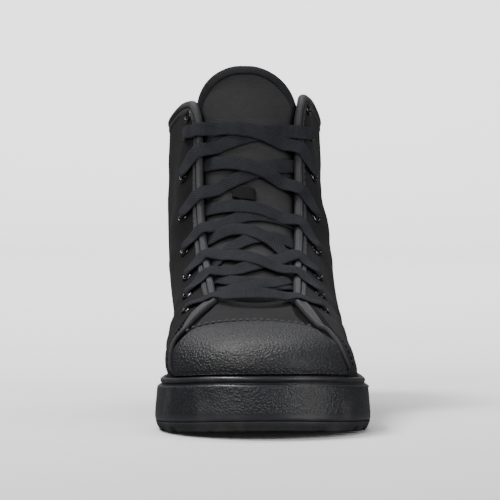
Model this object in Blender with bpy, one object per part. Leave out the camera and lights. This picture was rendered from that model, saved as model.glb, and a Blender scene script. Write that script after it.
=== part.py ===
# A lace-up safety boot for the left foot, standing empty on its sole.
# Sizes are in millimetres until a mesh is made. The toe points to -Y, the medial
# side is -X, the lateral side is +X, and the floor is z = 0.

import math

import bmesh
import bpy
import numpy as np
from mathutils import Matrix, Vector

MM = 0.001

# Driving sizes
LENGTH = 303.0  # tread, from the tip of the toe to the back of the heel
TOE_ROUND = 62.0  # how far back the round of the toe reaches
HEEL_ROUND = 42.0
SPRING = 4.8  # lift of the tread under the tip of the toe
SPRING_LENGTH = 78.0
TREAD = 5.0  # tread layer with its lugs
LUG = 3.0
LUG_GROOVE = 3.2  # width of the grooves across the tread
LUG_STEP = 14.0
LUG_ROWS = ((34.0, 8), (214.0, 6))  # first groove from the toe and number, forefoot then heel
ARCH = (175.0, 42.0)  # middle from the toe and length of the recess under the waist
GAP = 0.3  # between pieces that touch
WALL = 2.2  # upper, lining included
FEATHER_INSET = 6.8  # from the tread's edge in to the outer face of the upper
TUCK = 1.2  # how much further in the upper stands on the cup's floor
INSOLE = 4.0
CAP_PROUD = 1.6
CAP_GAP = 0.6  # under the toe cap, whose curves are the tightest
CAP_BACK = 62.5  # from the tip of the toe to the cap's back edge
CAP_STATIONS = 10  # stations that it covers on each side
CAP_FOOT = 0.03  # level of its lower edge, just above the lip
PER_SIDE = 36  # stations along one side, from toe to heel
LEVELS = 10  # from the feather line up to the top edge

EYELET_HOLE = 2.7
EYELET_BORE = 1.9
EYELET_FLANGE = 3.9
EYELET_HEAD = 0.9
LACE_WIDTH = 7.0
LACE_THICK = 1.4
LACE_CLEAR = 0.65
LACE_STEPS = 10
KEEPER_ROWS = (0.541, 0.579)  # along the tongue
KEEPER_HALF = 6.0
KEEPER_OFF = -3.5  # from the middle line, towards the medial side


def table(columns, *rows):
    """Rows of numbers under named columns. The first column is what the others follow."""
    return dict(zip(columns.split(), np.array(rows, float).T))


# Half widths of the tread either side of the heel-to-toe axis, before its ends are rounded
PLAN = table(
    "from_toe medial lateral",
    (0, 51.5, 53.6),  # toe
    (45, 53.0, 56.8),
    (85, 53.0, 59.2),  # ball
    (110, 50.0, 59.0),
    (145, 41.0, 54.5),
    (170, 38.0, 50.0),  # waist
    (200, 38.5, 46.0),
    (235, 41.5, 43.5),
    (260, 42.5, 42.5),  # heel
    (303, 42.0, 42.0),
)

# Top of the side wall's lip, and the floor inside the cup
SIDEWALL = table(
    "from_toe lip floor",
    (0, 33.3, 14.5),
    (35, 30.4, 12.6),
    (80, 27.8, 11.6),
    (120, 27.2, 11.8),
    (170, 27.8, 14.2),
    (230, 29.4, 17.8),
    (303, 31.2, 19.0),
)

# The upper, a row for each section from the toe (0) round either side to the heel (1).
# top_*: its top edge, along the throat, the collar's corner and the collar.
# swell_*, rise: how the wall leaves the sole; ahead, out, down: how it reaches the top edge.
UPPER = table(
    "along top_from_toe top_half top_medial top_lateral swell_medial swell_lateral rise ahead out down",
    (0.00, 97.0, 0.0, 64.0, 64.0, 2.0, 2.0, 23, 50, 0, 12.5),  # toe, centre line
    (0.14, 96.5, 9.0, 64.3, 64.3, 2.0, 0.5, 23, 44, 9, 12.0),
    (0.29, 92.0, 20.8, 65.0, 65.0, 3.0, -3.7, 23, 21, 14.5, 7.5),  # corner of the throat
    (0.36, 109.0, 22.0, 70.0, 70.0, 4.8, -4.6, 24, 9, 15.5, 7.5),
    (0.43, 131.0, 23.4, 80.5, 80.5, 6.8, -1.8, 29, 4, 16.5, 10.0),
    (0.50, 152.0, 25.4, 95.5, 95.5, 12.4, 4.0, 38, 1, 18.5, 15.0),  # instep
    (0.56, 169.0, 26.6, 115.5, 115.5, 16.0, 9.0, 46, -2, 21, 22.0),
    (0.61, 179.0, 27.0, 140.5, 140.5, 15.5, 12.5, 50, -5, 21, 29.0),
    (0.645, 183.5, 27.2, 160.5, 160.5, 14.0, 13.5, 50, -6, 17, 32.0),
    (0.67, 188.0, 30.0, 169.5, 173.0, 13.0, 13.0, 48, -4, 11, 33.0),  # corner of the collar
    (0.70, 198.5, 34.0, 170.3, 173.0, 12.0, 12.0, 46, -2, 6, 36.0),
    (0.76, 228.0, 41.4, 162.5, 162.0, 9.5, 11.0, 44, 0, 2, 40.0),
    (0.84, 261.0, 37.8, 158.0, 158.0, 7.0, 7.5, 42, 4, 0, 43.0),
    (0.92, 283.5, 22.0, 160.5, 160.5, 5.5, 5.5, 42, 9, -1, 45.0),
    (1.00, 291.5, 0.0, 162.5, 162.5, 5.0, 5.0, 42, 12, 0, 46.0),  # back seam
)

# Eyelets, the same on both sides: steps along the throat's edge, and how far out from it
EYELETS = table(
    "number walked inset",
    (1, 3.0, 19.0),
    (2, 24.0, 14.5),
    (3, 45.5, 13.5),
    (4, 68.0, 13.5),
    (5, 90.5, 13.5),
    (6, 113.0, 13.5),
    (7, 136.0, 12.5),
    (8, 152.5, 8.0),  # spare, at the collar
)

# Whether each crossing passes over the wall's edge where it starts and where it ends. The
# other ends come from inside, so that the lace runs through every eyelet in turn.
CROSSINGS = table(
    "number over_start over_end",
    (1, 0, 0),
    (2, 1, 1),
    (3, 0, 0),
    (4, 1, 0),
    (5, 1, 0),
    (6, 1, 1),
)

# Tongue, a row for each height, following the throat and standing out of the collar
TONGUE = table(
    "row along half crown thick",
    (0.00, 0.285, 20.0, -0.6, 2.0),
    (0.08, 0.32, 24.0, 0.8, 3.0),
    (0.30, 0.43, 30.0, 9.0, 4.5),
    (0.55, 0.56, 31.0, 11.0, 5.5),
    (0.80, 0.645, 27.5, 10.5, 6.0),
)
TONGUE_TOP_Z = 189.7
TONGUE_LEAN = -2.5  # of its free end, towards the medial side
TONGUE_SINK = 2.9  # under the inner face of the upper, where the lace passes


def read(rows, name, at, even=False):
    """A named column at the given places, on a smooth curve through the rows.
    An even column meets the centre line square at both ends."""
    along = next(iter(rows.values()))
    values = rows[name]
    slopes = np.gradient(values, along)
    if even:
        slopes[[0, -1]] = 0
    at = np.asarray(at, float)
    row = np.clip(np.searchsorted(along, at) - 1, 0, len(along) - 2)
    span = along[row + 1] - along[row]
    t = (at - along[row]) / span
    return (
        (2 * t**3 - 3 * t**2 + 1) * values[row]
        + (t**3 - 2 * t**2 + t) * span * slopes[row]
        + (3 * t**2 - 2 * t**3) * values[row + 1]
        + (t**3 - t**2) * span * slopes[row + 1]
    )


def from_toe(along):
    """Distance from the toe of a station: close together at both ends, where the outline turns."""
    return 0.5 * LENGTH * (1 - np.cos(np.pi * np.asarray(along, float)))


def quarter_round(distance, reach):
    return np.sqrt(1 - np.clip(1 - distance / reach, 0, 1) ** 2)


def edge(along, side):
    """The tread's edge at a station: across the axis, and from the toe."""
    behind = from_toe(along)
    half = np.where(side > 0, read(PLAN, "lateral", behind), read(PLAN, "medial", behind))
    ends = quarter_round(behind, TOE_ROUND) * quarter_round(LENGTH - behind, HEEL_ROUND)
    return np.stack([side * half * ends, behind], axis=-1)


def plan(along, side, inset):
    """A point inset from the tread's edge, square to it."""
    along, side = np.broadcast_arrays(np.asarray(along, float), np.asarray(side, float))
    step = 1e-4
    run = edge(np.clip(along + step, 0, 1), side) - edge(np.clip(along - step, 0, 1), side)
    run /= np.linalg.norm(run, axis=-1, keepdims=True)
    out = side[..., None] * np.stack([run[..., 1], -run[..., 0]], axis=-1)
    return edge(along, side) - np.asarray(inset)[..., None] * out, out


def ring_stations(per_side=PER_SIDE):
    """Stations once round the boot: back along the lateral side, forward along the medial."""
    lateral = np.arange(per_side + 1) / per_side
    medial = lateral[-2:0:-1]
    side = np.concatenate([np.ones(per_side + 1), -np.ones(per_side - 1)])
    return np.concatenate([lateral, medial]), side


def tread_z(behind):
    """Underside of the tread: flat, then curving up under the toe."""
    return SPRING * np.clip(1 - behind / SPRING_LENGTH, 0, 1) ** 2


def widest():
    stations, side = ring_stations()
    across = edge(stations, side)[:, 0]
    return 0.5 * (across.max() + across.min())


AXIS_X = -widest()  # puts the middle of the tread's box on x = 0


def place(across, behind, z):
    """Axis coordinates to the boot's own frame."""
    return np.stack(np.broadcast_arrays(across + AXIS_X, behind - LENGTH / 2, z), axis=-1)


def skin(along, side, level):
    """The upper's outer face: a cubic curve at each station from the feather line (level 0)
    to the top edge (level 1)."""
    along, side, level = np.broadcast_arrays(
        np.asarray(along, float), np.asarray(side, float), np.asarray(level, float)
    )
    foot, out = plan(along, side, np.full(along.shape, FEATHER_INSET))
    lip = read(SIDEWALL, "lip", foot[..., 1], even=True)
    low = np.stack([foot[..., 0], foot[..., 1], lip], axis=-1)
    swell = np.where(
        side > 0, read(UPPER, "swell_lateral", along, True), read(UPPER, "swell_medial", along, True)
    )
    rise = read(UPPER, "rise", along, True)
    above_low = low + np.stack([out[..., 0] * swell, out[..., 1] * swell, rise], axis=-1)
    top = np.stack(
        [
            side * read(UPPER, "top_half", along),
            read(UPPER, "top_from_toe", along, True),
            np.where(
                side > 0, read(UPPER, "top_lateral", along, True), read(UPPER, "top_medial", along, True)
            ),
        ],
        axis=-1,
    )
    below_top = top + np.stack(
        [
            side * read(UPPER, "out", along),
            -read(UPPER, "ahead", along, True),
            -read(UPPER, "down", along, True),
        ],
        axis=-1,
    )
    h = level[..., None]
    point = (
        (1 - h) ** 3 * low
        + 3 * (1 - h) ** 2 * h * above_low
        + 3 * (1 - h) * h**2 * below_top
        + h**3 * top
    )
    return place(point[..., 0], point[..., 1], point[..., 2])


def skin_normal(along, side, level):
    """Outward normal of the upper's outer face."""
    step = 2e-3
    along, side, level = np.broadcast_arrays(
        np.asarray(along, float), np.asarray(side, float), np.asarray(level, float)
    )
    run = skin(np.clip(along + step, 0, 1), side, level) - skin(
        np.clip(along - step, 0, 1), side, level
    )
    climb = skin(along, side, np.clip(level + step, 0, 1)) - skin(
        along, side, np.clip(level - step, 0, 1)
    )
    normal = np.cross(run, climb) * side[..., None]
    return normal / np.linalg.norm(normal, axis=-1, keepdims=True)


def throat(along):
    """Middle of the throat between its two edges, and the edges' mean outward normal there."""
    edges = [skin(along, side, 1.0) for side in (-1, 1)]
    normals = [skin_normal(along, side, 1.0) for side in (-1, 1)]
    lean = normals[0] + normals[1]
    lean[..., 0] = 0
    lean /= np.linalg.norm(lean, axis=-1, keepdims=True)
    return 0.5 * (edges[0] + edges[1]), lean


def finish(name, bm, material, smooth_angle=40.0):
    """Turns a bmesh in millimetres into a named object in metres."""
    bmesh.ops.recalc_face_normals(bm, faces=bm.faces)
    bmesh.ops.scale(bm, vec=(MM, MM, MM), verts=bm.verts)
    mesh = bpy.data.meshes.new(name)
    bm.to_mesh(mesh)
    bm.free()
    mesh.shade_smooth()
    mesh.set_sharp_from_angle(angle=math.radians(smooth_angle))
    obj = bpy.data.objects.new(name, mesh)
    bpy.context.scene.collection.objects.link(obj)
    if material:
        mesh.materials.append(material)
    return obj


def finish_material(name, colour, roughness, metallic=0.0):
    material = bpy.data.materials.new(name)
    material.use_nodes = True
    shader = material.node_tree.nodes["Principled BSDF"]
    shader.inputs["Base Color"].default_value = (*colour, 1.0)
    shader.inputs["Roughness"].default_value = roughness
    shader.inputs["Metallic"].default_value = metallic
    return material


def add_ring(bm, points):
    return [bm.verts.new(point) for point in points]


def join_rings(bm, lower, upper):
    """A band of quads between two closed rings of equal count."""
    count = len(lower)
    for i in range(count):
        k = (i + 1) % count
        bm.faces.new((lower[i], lower[k], upper[k], upper[i]))


def ladder(bm, ring):
    """Closes a ring that runs out along one side and back along the other, rung by rung."""
    count = len(ring)
    half = count // 2
    bm.faces.new((ring[0], ring[1], ring[count - 1]))
    for i in range(1, half - 1):
        bm.faces.new((ring[i], ring[i + 1], ring[count - i - 1], ring[count - i]))
    bm.faces.new((ring[half - 1], ring[half], ring[half + 1]))


def loft(bm, rings):
    """Bands between successive rings, with both ends closed by a ladder."""
    made = [add_ring(bm, points) for points in rings]
    for lower, upper in zip(made, made[1:]):
        join_rings(bm, lower, upper)
    ladder(bm, made[0])
    ladder(bm, made[-1])


def ring_at(inset, height):
    """A ring inset from the tread's edge, at a height worked out from each point's place."""
    stations, side = ring_stations()
    points, _ = plan(stations, side, np.full(stations.shape, float(inset)))
    return place(points[:, 0], points[:, 1], height(points[:, 1]))


def lip_z(behind):
    return read(SIDEWALL, "lip", behind, even=True)


def floor_z(behind):
    return read(SIDEWALL, "floor", behind, even=True)


def sheet(bm, outer, inner):
    """A closed slab between two grids of points of the same shape."""
    rows, columns = outer.shape[:2]
    faces = [[add_ring(bm, line) for line in grid] for grid in (outer, inner)]
    for grid in faces:
        for i in range(rows - 1):
            for k in range(columns - 1):
                bm.faces.new((grid[i][k], grid[i][k + 1], grid[i + 1][k + 1], grid[i + 1][k]))
    border = [(0, k) for k in range(columns)] + [(i, columns - 1) for i in range(1, rows)]
    border += [(rows - 1, k) for k in range(columns - 2, -1, -1)]
    border += [(i, 0) for i in range(rows - 2, 0, -1)]
    for (i, k), (m, n) in zip(border, border[1:] + border[:1]):
        bm.faces.new((faces[0][i][k], faces[0][m][n], faces[1][m][n], faces[1][i][k]))


def block(bm, middle, size):
    matrix = Matrix.Translation(middle) @ Matrix.Diagonal((*size, 1))
    bmesh.ops.create_cube(bm, size=1.0, matrix=matrix)


def cut(obj, name, bm):
    """Cuts a shape out of an object and keeps the cutter as a hidden guide."""
    cutter = finish(name, bm, None)
    cutter.hide_render = True
    cutter.display_type = "WIRE"
    modifier = obj.modifiers.new(name, "BOOLEAN")
    modifier.operation = "DIFFERENCE"
    modifier.solver = "EXACT"
    modifier.object = cutter


def make_outsole(material):
    bm = bmesh.new()
    loft(
        bm,
        [
            ring_at(2.6, tread_z),
            ring_at(1.0, lambda y: tread_z(y) + 1.0),
            ring_at(0.5, lambda y: tread_z(y) + TREAD - GAP),
        ],
    )
    obj = finish("outsole", bm, material)
    grooves = bmesh.new()
    for first, count in LUG_ROWS:
        for behind in first + LUG_STEP * np.arange(count):
            block(grooves, place(0, behind, tread_z(behind)), (140.0, LUG_GROOVE, 2 * LUG))
    cut(obj, "tread_grooves", grooves)
    arch = bmesh.new()
    block(arch, place(0, ARCH[0], -LUG / 2), (140.0, ARCH[1], 2 * LUG))
    cut(obj, "waist_arch", arch)
    return obj


def make_cupsole(material):
    def above_tread(rise):
        return lambda y: tread_z(y) + TREAD + rise

    def below_lip(drop):
        return lambda y: lip_z(y) - drop

    bm = bmesh.new()
    loft(
        bm,
        [
            ring_at(0.6, above_tread(0.0)),
            ring_at(0.0, above_tread(1.4)),
            ring_at(1.5, below_lip(6.8)),
            ring_at(3.8, below_lip(6.1)),
            ring_at(3.2, below_lip(5.3)),
            ring_at(2.9, below_lip(2.8)),
            ring_at(3.6, below_lip(0.6)),
            ring_at(4.9, below_lip(0.0)),
            ring_at(FEATHER_INSET - GAP, below_lip(0.3)),
            ring_at(FEATHER_INSET + TUCK - GAP, floor_z),
        ],
    )
    return finish("cupsole", bm, material)


def make_insole(material):
    inset = FEATHER_INSET + TUCK + WALL + GAP
    bm = bmesh.new()
    loft(
        bm,
        [
            ring_at(inset + 0.4, lambda y: floor_z(y) + GAP),
            ring_at(inset + 0.2, lambda y: floor_z(y) + GAP + INSOLE - 0.8),
            ring_at(inset + 1.2, lambda y: floor_z(y) + GAP + INSOLE),
        ],
    )
    return finish("insole", bm, material)


def eyelet_station(number):
    """The station on the throat's edge beside an eyelet, and its distance out from the edge."""
    walk = np.linspace(0.29, 0.68, 400)
    path = skin(walk, 1, 1.0)
    gone = np.concatenate([[0], np.cumsum(np.linalg.norm(np.diff(path, axis=0), axis=1))])
    along = np.interp(read(EYELETS, "walked", number), gone, walk)
    return float(along), float(read(EYELETS, "inset", number))


def outward(along, side, distance):
    """Station and level of the place on the wall that lies square out from the throat's edge."""
    here = skin(along, side, 1.0)
    edge_run = skin(along + 0.004, side, 1.0) - skin(along - 0.004, side, 1.0)
    away = np.cross(edge_run, skin_normal(along, side, 0.985)) * side
    target = here + away / np.linalg.norm(away) * distance
    reach = 0.14
    level = 0.85
    for _ in range(4):
        alongs, levels = np.meshgrid(
            np.linspace(along - reach, along + reach, 29),
            np.linspace(level - reach, min(level + reach, 1.0), 29),
        )
        near = np.linalg.norm(skin(alongs, side, levels) - target, axis=-1)
        best = np.unravel_index(near.argmin(), near.shape)
        along, level = alongs[best], levels[best]
        reach *= 0.25
    return along, level


def eyelet_frame(number, side):
    """A matrix at an eyelet: its Z is the wall's outward normal."""
    station, inset = eyelet_station(number)
    along, level = outward(station, side, inset)
    centre = skin(along, side, level)
    normal = Vector(skin_normal(along, side, level))
    turn = Vector((0, 0, 1)).rotation_difference(normal).to_matrix().to_4x4()
    return Matrix.Translation(Vector(centre)) @ turn


def make_upper(material):
    stations, side = ring_stations()
    foot, _ = plan(stations, side, np.full(stations.shape, FEATHER_INSET + TUCK))
    bm = bmesh.new()
    rings = [place(foot[:, 0], foot[:, 1], floor_z(foot[:, 1]) + GAP)]
    rings += [skin(stations, side, level) for level in np.linspace(0, 1, LEVELS + 1)]
    made = [add_ring(bm, points) for points in rings]
    for lower, upper in zip(made, made[1:]):
        join_rings(bm, lower, upper)
    obj = finish("upper", bm, material)
    wall = obj.modifiers.new("wall", "SOLIDIFY")
    wall.thickness = WALL * MM
    wall.offset = -1.0
    wall.use_even_offset = True
    holes = bmesh.new()
    for number in EYELETS["number"]:
        for side in (-1, 1):
            bmesh.ops.create_cone(
                holes,
                cap_ends=True,
                segments=8,
                radius1=EYELET_HOLE + GAP,
                radius2=EYELET_HOLE + GAP,
                depth=4 * WALL,
                matrix=eyelet_frame(number, side),
            )
    cut(obj, "eyelet_holes", holes)
    return obj


def make_toe_cap(material):
    """A pebbled skin over the toe, from just above the lip back to an arc across the vamp."""
    step = np.arange(-CAP_STATIONS, CAP_STATIONS + 1)
    along = np.abs(step) / PER_SIDE
    side = np.where(step < 0, -1.0, 1.0)
    levels = np.linspace(0, 1, 60)
    behind = skin(along[:, None], side[:, None], levels)[..., 1] + LENGTH / 2
    top = np.array([np.interp(CAP_BACK, line, levels) for line in behind])
    level = CAP_FOOT + np.linspace(0, 1, 9)[:, None] * (top - CAP_FOOT)[None, :]
    points = skin(along, side, level)
    normals = skin_normal(along, side, level)
    bm = bmesh.new()
    sheet(bm, points + normals * (CAP_GAP + CAP_PROUD), points + normals * CAP_GAP)
    return finish("toe_cap", bm, material)


def tongue_face(row, across, sink=0.0):
    """A point on the tongue's outer face. Row runs from its root (0) to the top of the throat
    (0.8) and up to its free end (1); across runs from edge to edge, -1 to 1."""
    row, across = np.broadcast_arrays(np.asarray(row, float), np.asarray(across, float))
    low = np.minimum(row, 0.8)
    along = read(TONGUE, "along", low)
    middle, lean = throat(along)
    last, _ = throat(np.full_like(along, read(TONGUE, "along", 0.8)))
    rise = np.clip((row - 0.8) / 0.2, 0, 1)
    free = (TONGUE_TOP_Z - last[..., 2]) * rise
    middle = middle + free[..., None] * np.array([0, -0.02, 1.0])
    half = read(TONGUE, "half", low) * np.sqrt(1 - 0.97 * rise**2.65)
    crown = read(TONGUE, "crown", low) * (1 - 0.25 * rise)
    x = across * half
    bow = crown * (1 - (x / 27.0) ** 2)
    point = middle + lean * (bow - WALL - TONGUE_SINK - sink)[..., None]
    point[..., 0] = AXIS_X + x + TONGUE_LEAN * rise
    return point


def make_tongue(material):
    free = 0.8 + 0.2 * np.array([0.3, 0.6, 0.8, 0.93, 1.0])
    row = np.concatenate([np.linspace(0, 0.8, 12), free])
    across = np.linspace(-1, 1, 11)
    grid_row, grid_across = np.meshgrid(row, across, indexing="ij")
    thick = read(TONGUE, "thick", np.minimum(grid_row, 0.8)) * (1 - 0.55 * np.abs(grid_across) ** 3)
    bm = bmesh.new()
    sheet(bm, tongue_face(grid_row, grid_across), tongue_face(grid_row, grid_across, thick))
    return finish("tongue", bm, material)


def make_eyelet(name, matrix, material):
    """A flanged ring: its head lies on the upper and its barrel passes through the hole."""
    head = GAP + EYELET_HEAD
    profile = (
        (EYELET_BORE, -WALL - 0.4),
        (EYELET_BORE + 0.15, head),
        (EYELET_FLANGE - 0.5, head),
        (EYELET_FLANGE, GAP),
        (EYELET_HOLE, GAP),
        (EYELET_HOLE, -WALL - 0.4),
    )
    sides = 8
    bm = bmesh.new()
    rings = []
    for i in range(sides):
        angle = 2 * math.pi * i / sides
        turn = matrix @ Matrix.Rotation(angle, 4, "Z")
        rings.append([bm.verts.new(turn @ Vector((r, 0, z))) for r, z in profile])
    for here, after in zip(rings, rings[1:] + rings[:1]):
        join_rings(bm, here, after)
    return finish(name, bm, material)


def ribbon(points, ups):
    """A flat lace along a path, as a closed bmesh. Ups are its face normals."""
    bm = bmesh.new()
    run = np.gradient(points, axis=0)
    across = np.cross(run, ups)
    across /= np.linalg.norm(across, axis=1, keepdims=True)
    face = np.cross(across, run)
    face /= np.linalg.norm(face, axis=1, keepdims=True)
    corners = ((-0.5, 0.0), (-0.36, 0.5), (0.36, 0.5), (0.5, 0.0), (0.36, -0.5), (-0.36, -0.5))
    made = []
    for point, sideways, up in zip(points, across, face):
        ring = [point + sideways * (a * LACE_WIDTH) + up * (b * LACE_THICK) for a, b in corners]
        made.append(add_ring(bm, ring))
    for here, after in zip(made, made[1:]):
        join_rings(bm, here, after)
    bm.faces.new(made[0])
    bm.faces.new(made[-1])
    return bm


def smooth_path(line, count):
    """Even steps on a smooth curve through a few (point, normal) pairs."""
    points, normals = (np.array(values) for values in zip(*line))
    gone = np.concatenate([[0], np.cumsum(np.linalg.norm(np.diff(points, axis=0), axis=1))])
    at = np.linspace(0, gone[-1], count)
    return tuple(
        np.stack([read({"gone": gone, "value": axis}, "value", at) for axis in values.T], axis=1)
        for values in (points, normals)
    )


def row_of(along):
    """The tongue's row that lies level with a station on the throat."""
    rows = np.linspace(0, 0.8, 200)
    return float(np.interp(along, read(TONGUE, "along", rows), rows))


def over_wall(number, side, distance, lift=0.0):
    """Middle of the lace, and its face normal, where it lies outside the upper near an eyelet."""
    along, _ = eyelet_station(number)
    along, level = outward(along, side, distance)
    normal = skin_normal(along, side, level)
    return skin(along, side, level) + normal * (0.5 * LACE_THICK + LACE_CLEAR + lift), normal


def over_tongue(row, x, height):
    """Middle of the lace, and its face normal, over the tongue."""
    half = read(TONGUE, "half", row)
    _, lean = throat(read(TONGUE, "along", row))
    normal = lean + np.array([0.6 * x / half, 0, 0])
    normal /= np.linalg.norm(normal)
    return tongue_face(row, x / half) + normal * (0.5 * LACE_THICK + LACE_CLEAR + height), normal


def strand(start, end, side, over_start, over_end, height):
    """Middle line and face normals of one strand, from the start eyelet on one side across to the
    end eyelet on the other. Over says that it passes outside the wall there; otherwise it stops
    inside the throat, where the real one goes under the wall's edge. It climbs early and then
    runs level, with its height greatest on the middle of the tongue."""
    rows = [row_of(eyelet_station(number)[0]) for number in (start, end)]
    reach = [read(UPPER, "top_half", eyelet_station(number)[0]) - 5.5 for number in (start, end)]
    by_flange = [read(EYELETS, "inset", n) - EYELET_FLANGE - 1.2 for n in (start, end)]
    line = []
    if over_start:
        line += [over_wall(start, side, by_flange[0]), over_wall(start, side, 0.5, 0.4)]
    for part in np.linspace(0, 1, 7):
        if (part == 0 and over_start) or (part == 1 and over_end):
            continue
        climb = 0.3 + 0.6 * part if not over_start else 1 - (0.85 - 0.85 * part) ** 1.9
        row = rows[0] + (rows[1] - rows[0]) * climb
        x = side * ((1 - part) * reach[0] - part * reach[1])
        line.append(over_tongue(row, x, 0.3 + height * (1 - abs(2 * part - 1))))
    if over_end:
        line += [over_wall(end, -side, 0.5, 0.4), over_wall(end, -side, by_flange[1])]
    return smooth_path(line, LACE_STEPS)


def lace_solid(name, strands, material):
    """One solid from one strand, or from two that cross and are joined."""
    first = finish(name, ribbon(*strands[0]), material)
    for points, normals in strands[1:]:
        other = finish(name + "_under", ribbon(points, normals), None)
        other.hide_render = True
        other.display_type = "WIRE"
        join = first.modifiers.new("crossing", "BOOLEAN")
        join.operation = "UNION"
        join.object = other


def bar():
    """Middle line and face normals of the lace's first run, straight across from eyelet 1 to
    eyelet 1 over the edge of the vamp."""
    reach = read(EYELETS, "inset", 1) - EYELET_FLANGE - 3.1
    lateral = [over_wall(1, 1, reach), over_wall(1, 1, 1.5, 0.4)]
    medial = [over_wall(1, -1, reach), over_wall(1, -1, 1.5, 0.4)]
    height = 0.5 * LACE_THICK + LACE_CLEAR + 0.4
    levels = np.linspace(0.8, 1, 40)
    middle = []
    for along, side in ((0.2, -1), (0.0, -1), (0.2, 1)):
        level = np.interp(medial[0][0][1], skin(along, side, levels)[:, 1], levels)
        normal = skin_normal(along, side, level)
        middle.append((skin(along, side, level) + normal * height, normal))
    return smooth_path(medial + middle + lateral[::-1], LACE_STEPS)


def make_laces(material):
    lace_solid("lace_bar", [bar()], material)
    for number, over_start, over_end in zip(*CROSSINGS.values()):
        upper_strand = strand(number, number + 1, 1, over_start, over_end, 0.7 * LACE_THICK)
        lower_strand = strand(number, number + 1, -1, over_start, over_end, 0.0)
        lace_solid(f"lace_crossing_{number:.0f}", [upper_strand, lower_strand], material)


def make_lace_keeper(material):
    row, across = np.meshgrid(np.linspace(*KEEPER_ROWS, 5), np.linspace(-1, 1, 6), indexing="ij")
    across = (KEEPER_OFF + across * KEEPER_HALF) / read(TONGUE, "half", row)
    bm = bmesh.new()
    sheet(bm, tongue_face(row, across, -1.9), tongue_face(row, across, -0.8))
    return finish("lace_keeper", bm, material)


def clear_scene():
    for obj in list(bpy.data.objects):
        bpy.data.objects.remove(obj, do_unlink=True)


def main():
    clear_scene()
    make_outsole(finish_material("tread_rubber", (0.022, 0.022, 0.025), 0.7))
    make_cupsole(finish_material("cup_rubber", (0.035, 0.036, 0.041), 0.5))
    make_insole(finish_material("insole_foam", (0.03, 0.03, 0.03), 0.9))
    make_upper(finish_material("upper_nubuck", (0.02, 0.02, 0.021), 0.85))
    make_toe_cap(finish_material("toe_pebble", (0.028, 0.028, 0.03), 0.5))
    make_tongue(finish_material("tongue_weave", (0.022, 0.022, 0.021), 0.9))
    make_lace_keeper(finish_material("keeper_webbing", (0.09, 0.09, 0.095), 0.8))
    make_laces(finish_material("lace_cotton", (0.014, 0.015, 0.018), 0.85))
    metal = finish_material("eyelet_metal", (0.12, 0.12, 0.125), 0.3, 1.0)
    for number in EYELETS["number"]:
        for side, word in ((-1, "medial"), (1, "lateral")):
            make_eyelet(f"eyelet_{word}_{number:.0f}", eyelet_frame(number, side), metal)


main()
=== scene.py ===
import bpy
import numpy as np
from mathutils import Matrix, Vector


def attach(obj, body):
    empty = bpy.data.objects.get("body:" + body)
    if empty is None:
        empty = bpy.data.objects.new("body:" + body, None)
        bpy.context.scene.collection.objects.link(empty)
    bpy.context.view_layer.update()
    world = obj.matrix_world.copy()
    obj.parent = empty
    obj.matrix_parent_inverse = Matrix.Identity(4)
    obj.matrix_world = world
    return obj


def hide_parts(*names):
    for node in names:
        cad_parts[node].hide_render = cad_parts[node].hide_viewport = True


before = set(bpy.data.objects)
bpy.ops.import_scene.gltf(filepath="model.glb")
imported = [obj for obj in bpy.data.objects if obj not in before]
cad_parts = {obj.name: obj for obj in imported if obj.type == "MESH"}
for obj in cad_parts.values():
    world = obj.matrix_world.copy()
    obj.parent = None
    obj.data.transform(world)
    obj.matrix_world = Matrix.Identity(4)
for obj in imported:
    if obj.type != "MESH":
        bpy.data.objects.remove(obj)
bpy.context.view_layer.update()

mm = 0.001
print("frame loaded")


# Arrays brought to one shape.
def sameShape(*values):
    return np.broadcast_arrays(*(np.asarray(value, float) for value in values))


# Arrays brought to one shape and joined into vectors, one number of each.
def joined(*values):
    return np.stack(np.broadcast_arrays(*values), axis=-1)


def unit(vectors):
    return vectors / np.maximum(np.linalg.norm(vectors, axis=-1, keepdims=True), 1e-9)


# Length of a path up to each of its points, along the first direction of the array.
def walkedLength(points):
    steps = np.linalg.norm(np.diff(points, axis=0), axis=-1)
    return np.concatenate([np.zeros_like(points[:1, ..., 0]), np.cumsum(steps, axis=0)])


# Faces of a grid of rows by columns: each quad joins point (r, c) to its right, upper right
# and upper neighbours. A wrapped direction joins its last line to its first.
def gridFaces(rows, columns, wrapRows=False, wrapColumns=False):
    r = np.arange(rows if wrapRows else rows - 1)
    c = np.arange(columns if wrapColumns else columns - 1)
    r, c = (a.ravel() for a in np.meshgrid(r, c, indexing="ij"))
    r2, c2 = (r + 1) % rows, (c + 1) % columns
    return np.stack([r * columns + c, r * columns + c2, r2 * columns + c2, r2 * columns + c], axis=1)


# Points and faces of a slab between two equal grids: the outer one, the inner one turned
# round, and a strip of quads along each of the four sides.
def slabOf(outerPoints, innerPoints):
    rows, columns = outerPoints.shape[:2]
    count = rows * columns
    outer = gridFaces(rows, columns)
    index = np.arange(count).reshape(rows, columns)
    strips = []
    for line in (index[0, ::-1], index[-1], index[:, 0], index[::-1, -1]):
        a, b = line[:-1], line[1:]
        strips.append(np.stack([b, a, a + count, b + count], axis=1))
    points = np.concatenate([outerPoints.reshape(-1, 3), innerPoints.reshape(-1, 3)])
    return points, np.concatenate([outer, outer[:, ::-1] + count, *strips])


# Signed volume: a sixth of the sum of each triangle's triple product.
def signedVolume(points, quads):
    a, b, c, d = (points[quads[:, i]] for i in range(4))
    return (np.einsum("ij,ij->i", a, np.cross(b, c)) + np.einsum("ij,ij->i", a, np.cross(c, d))).sum() / 6


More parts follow.
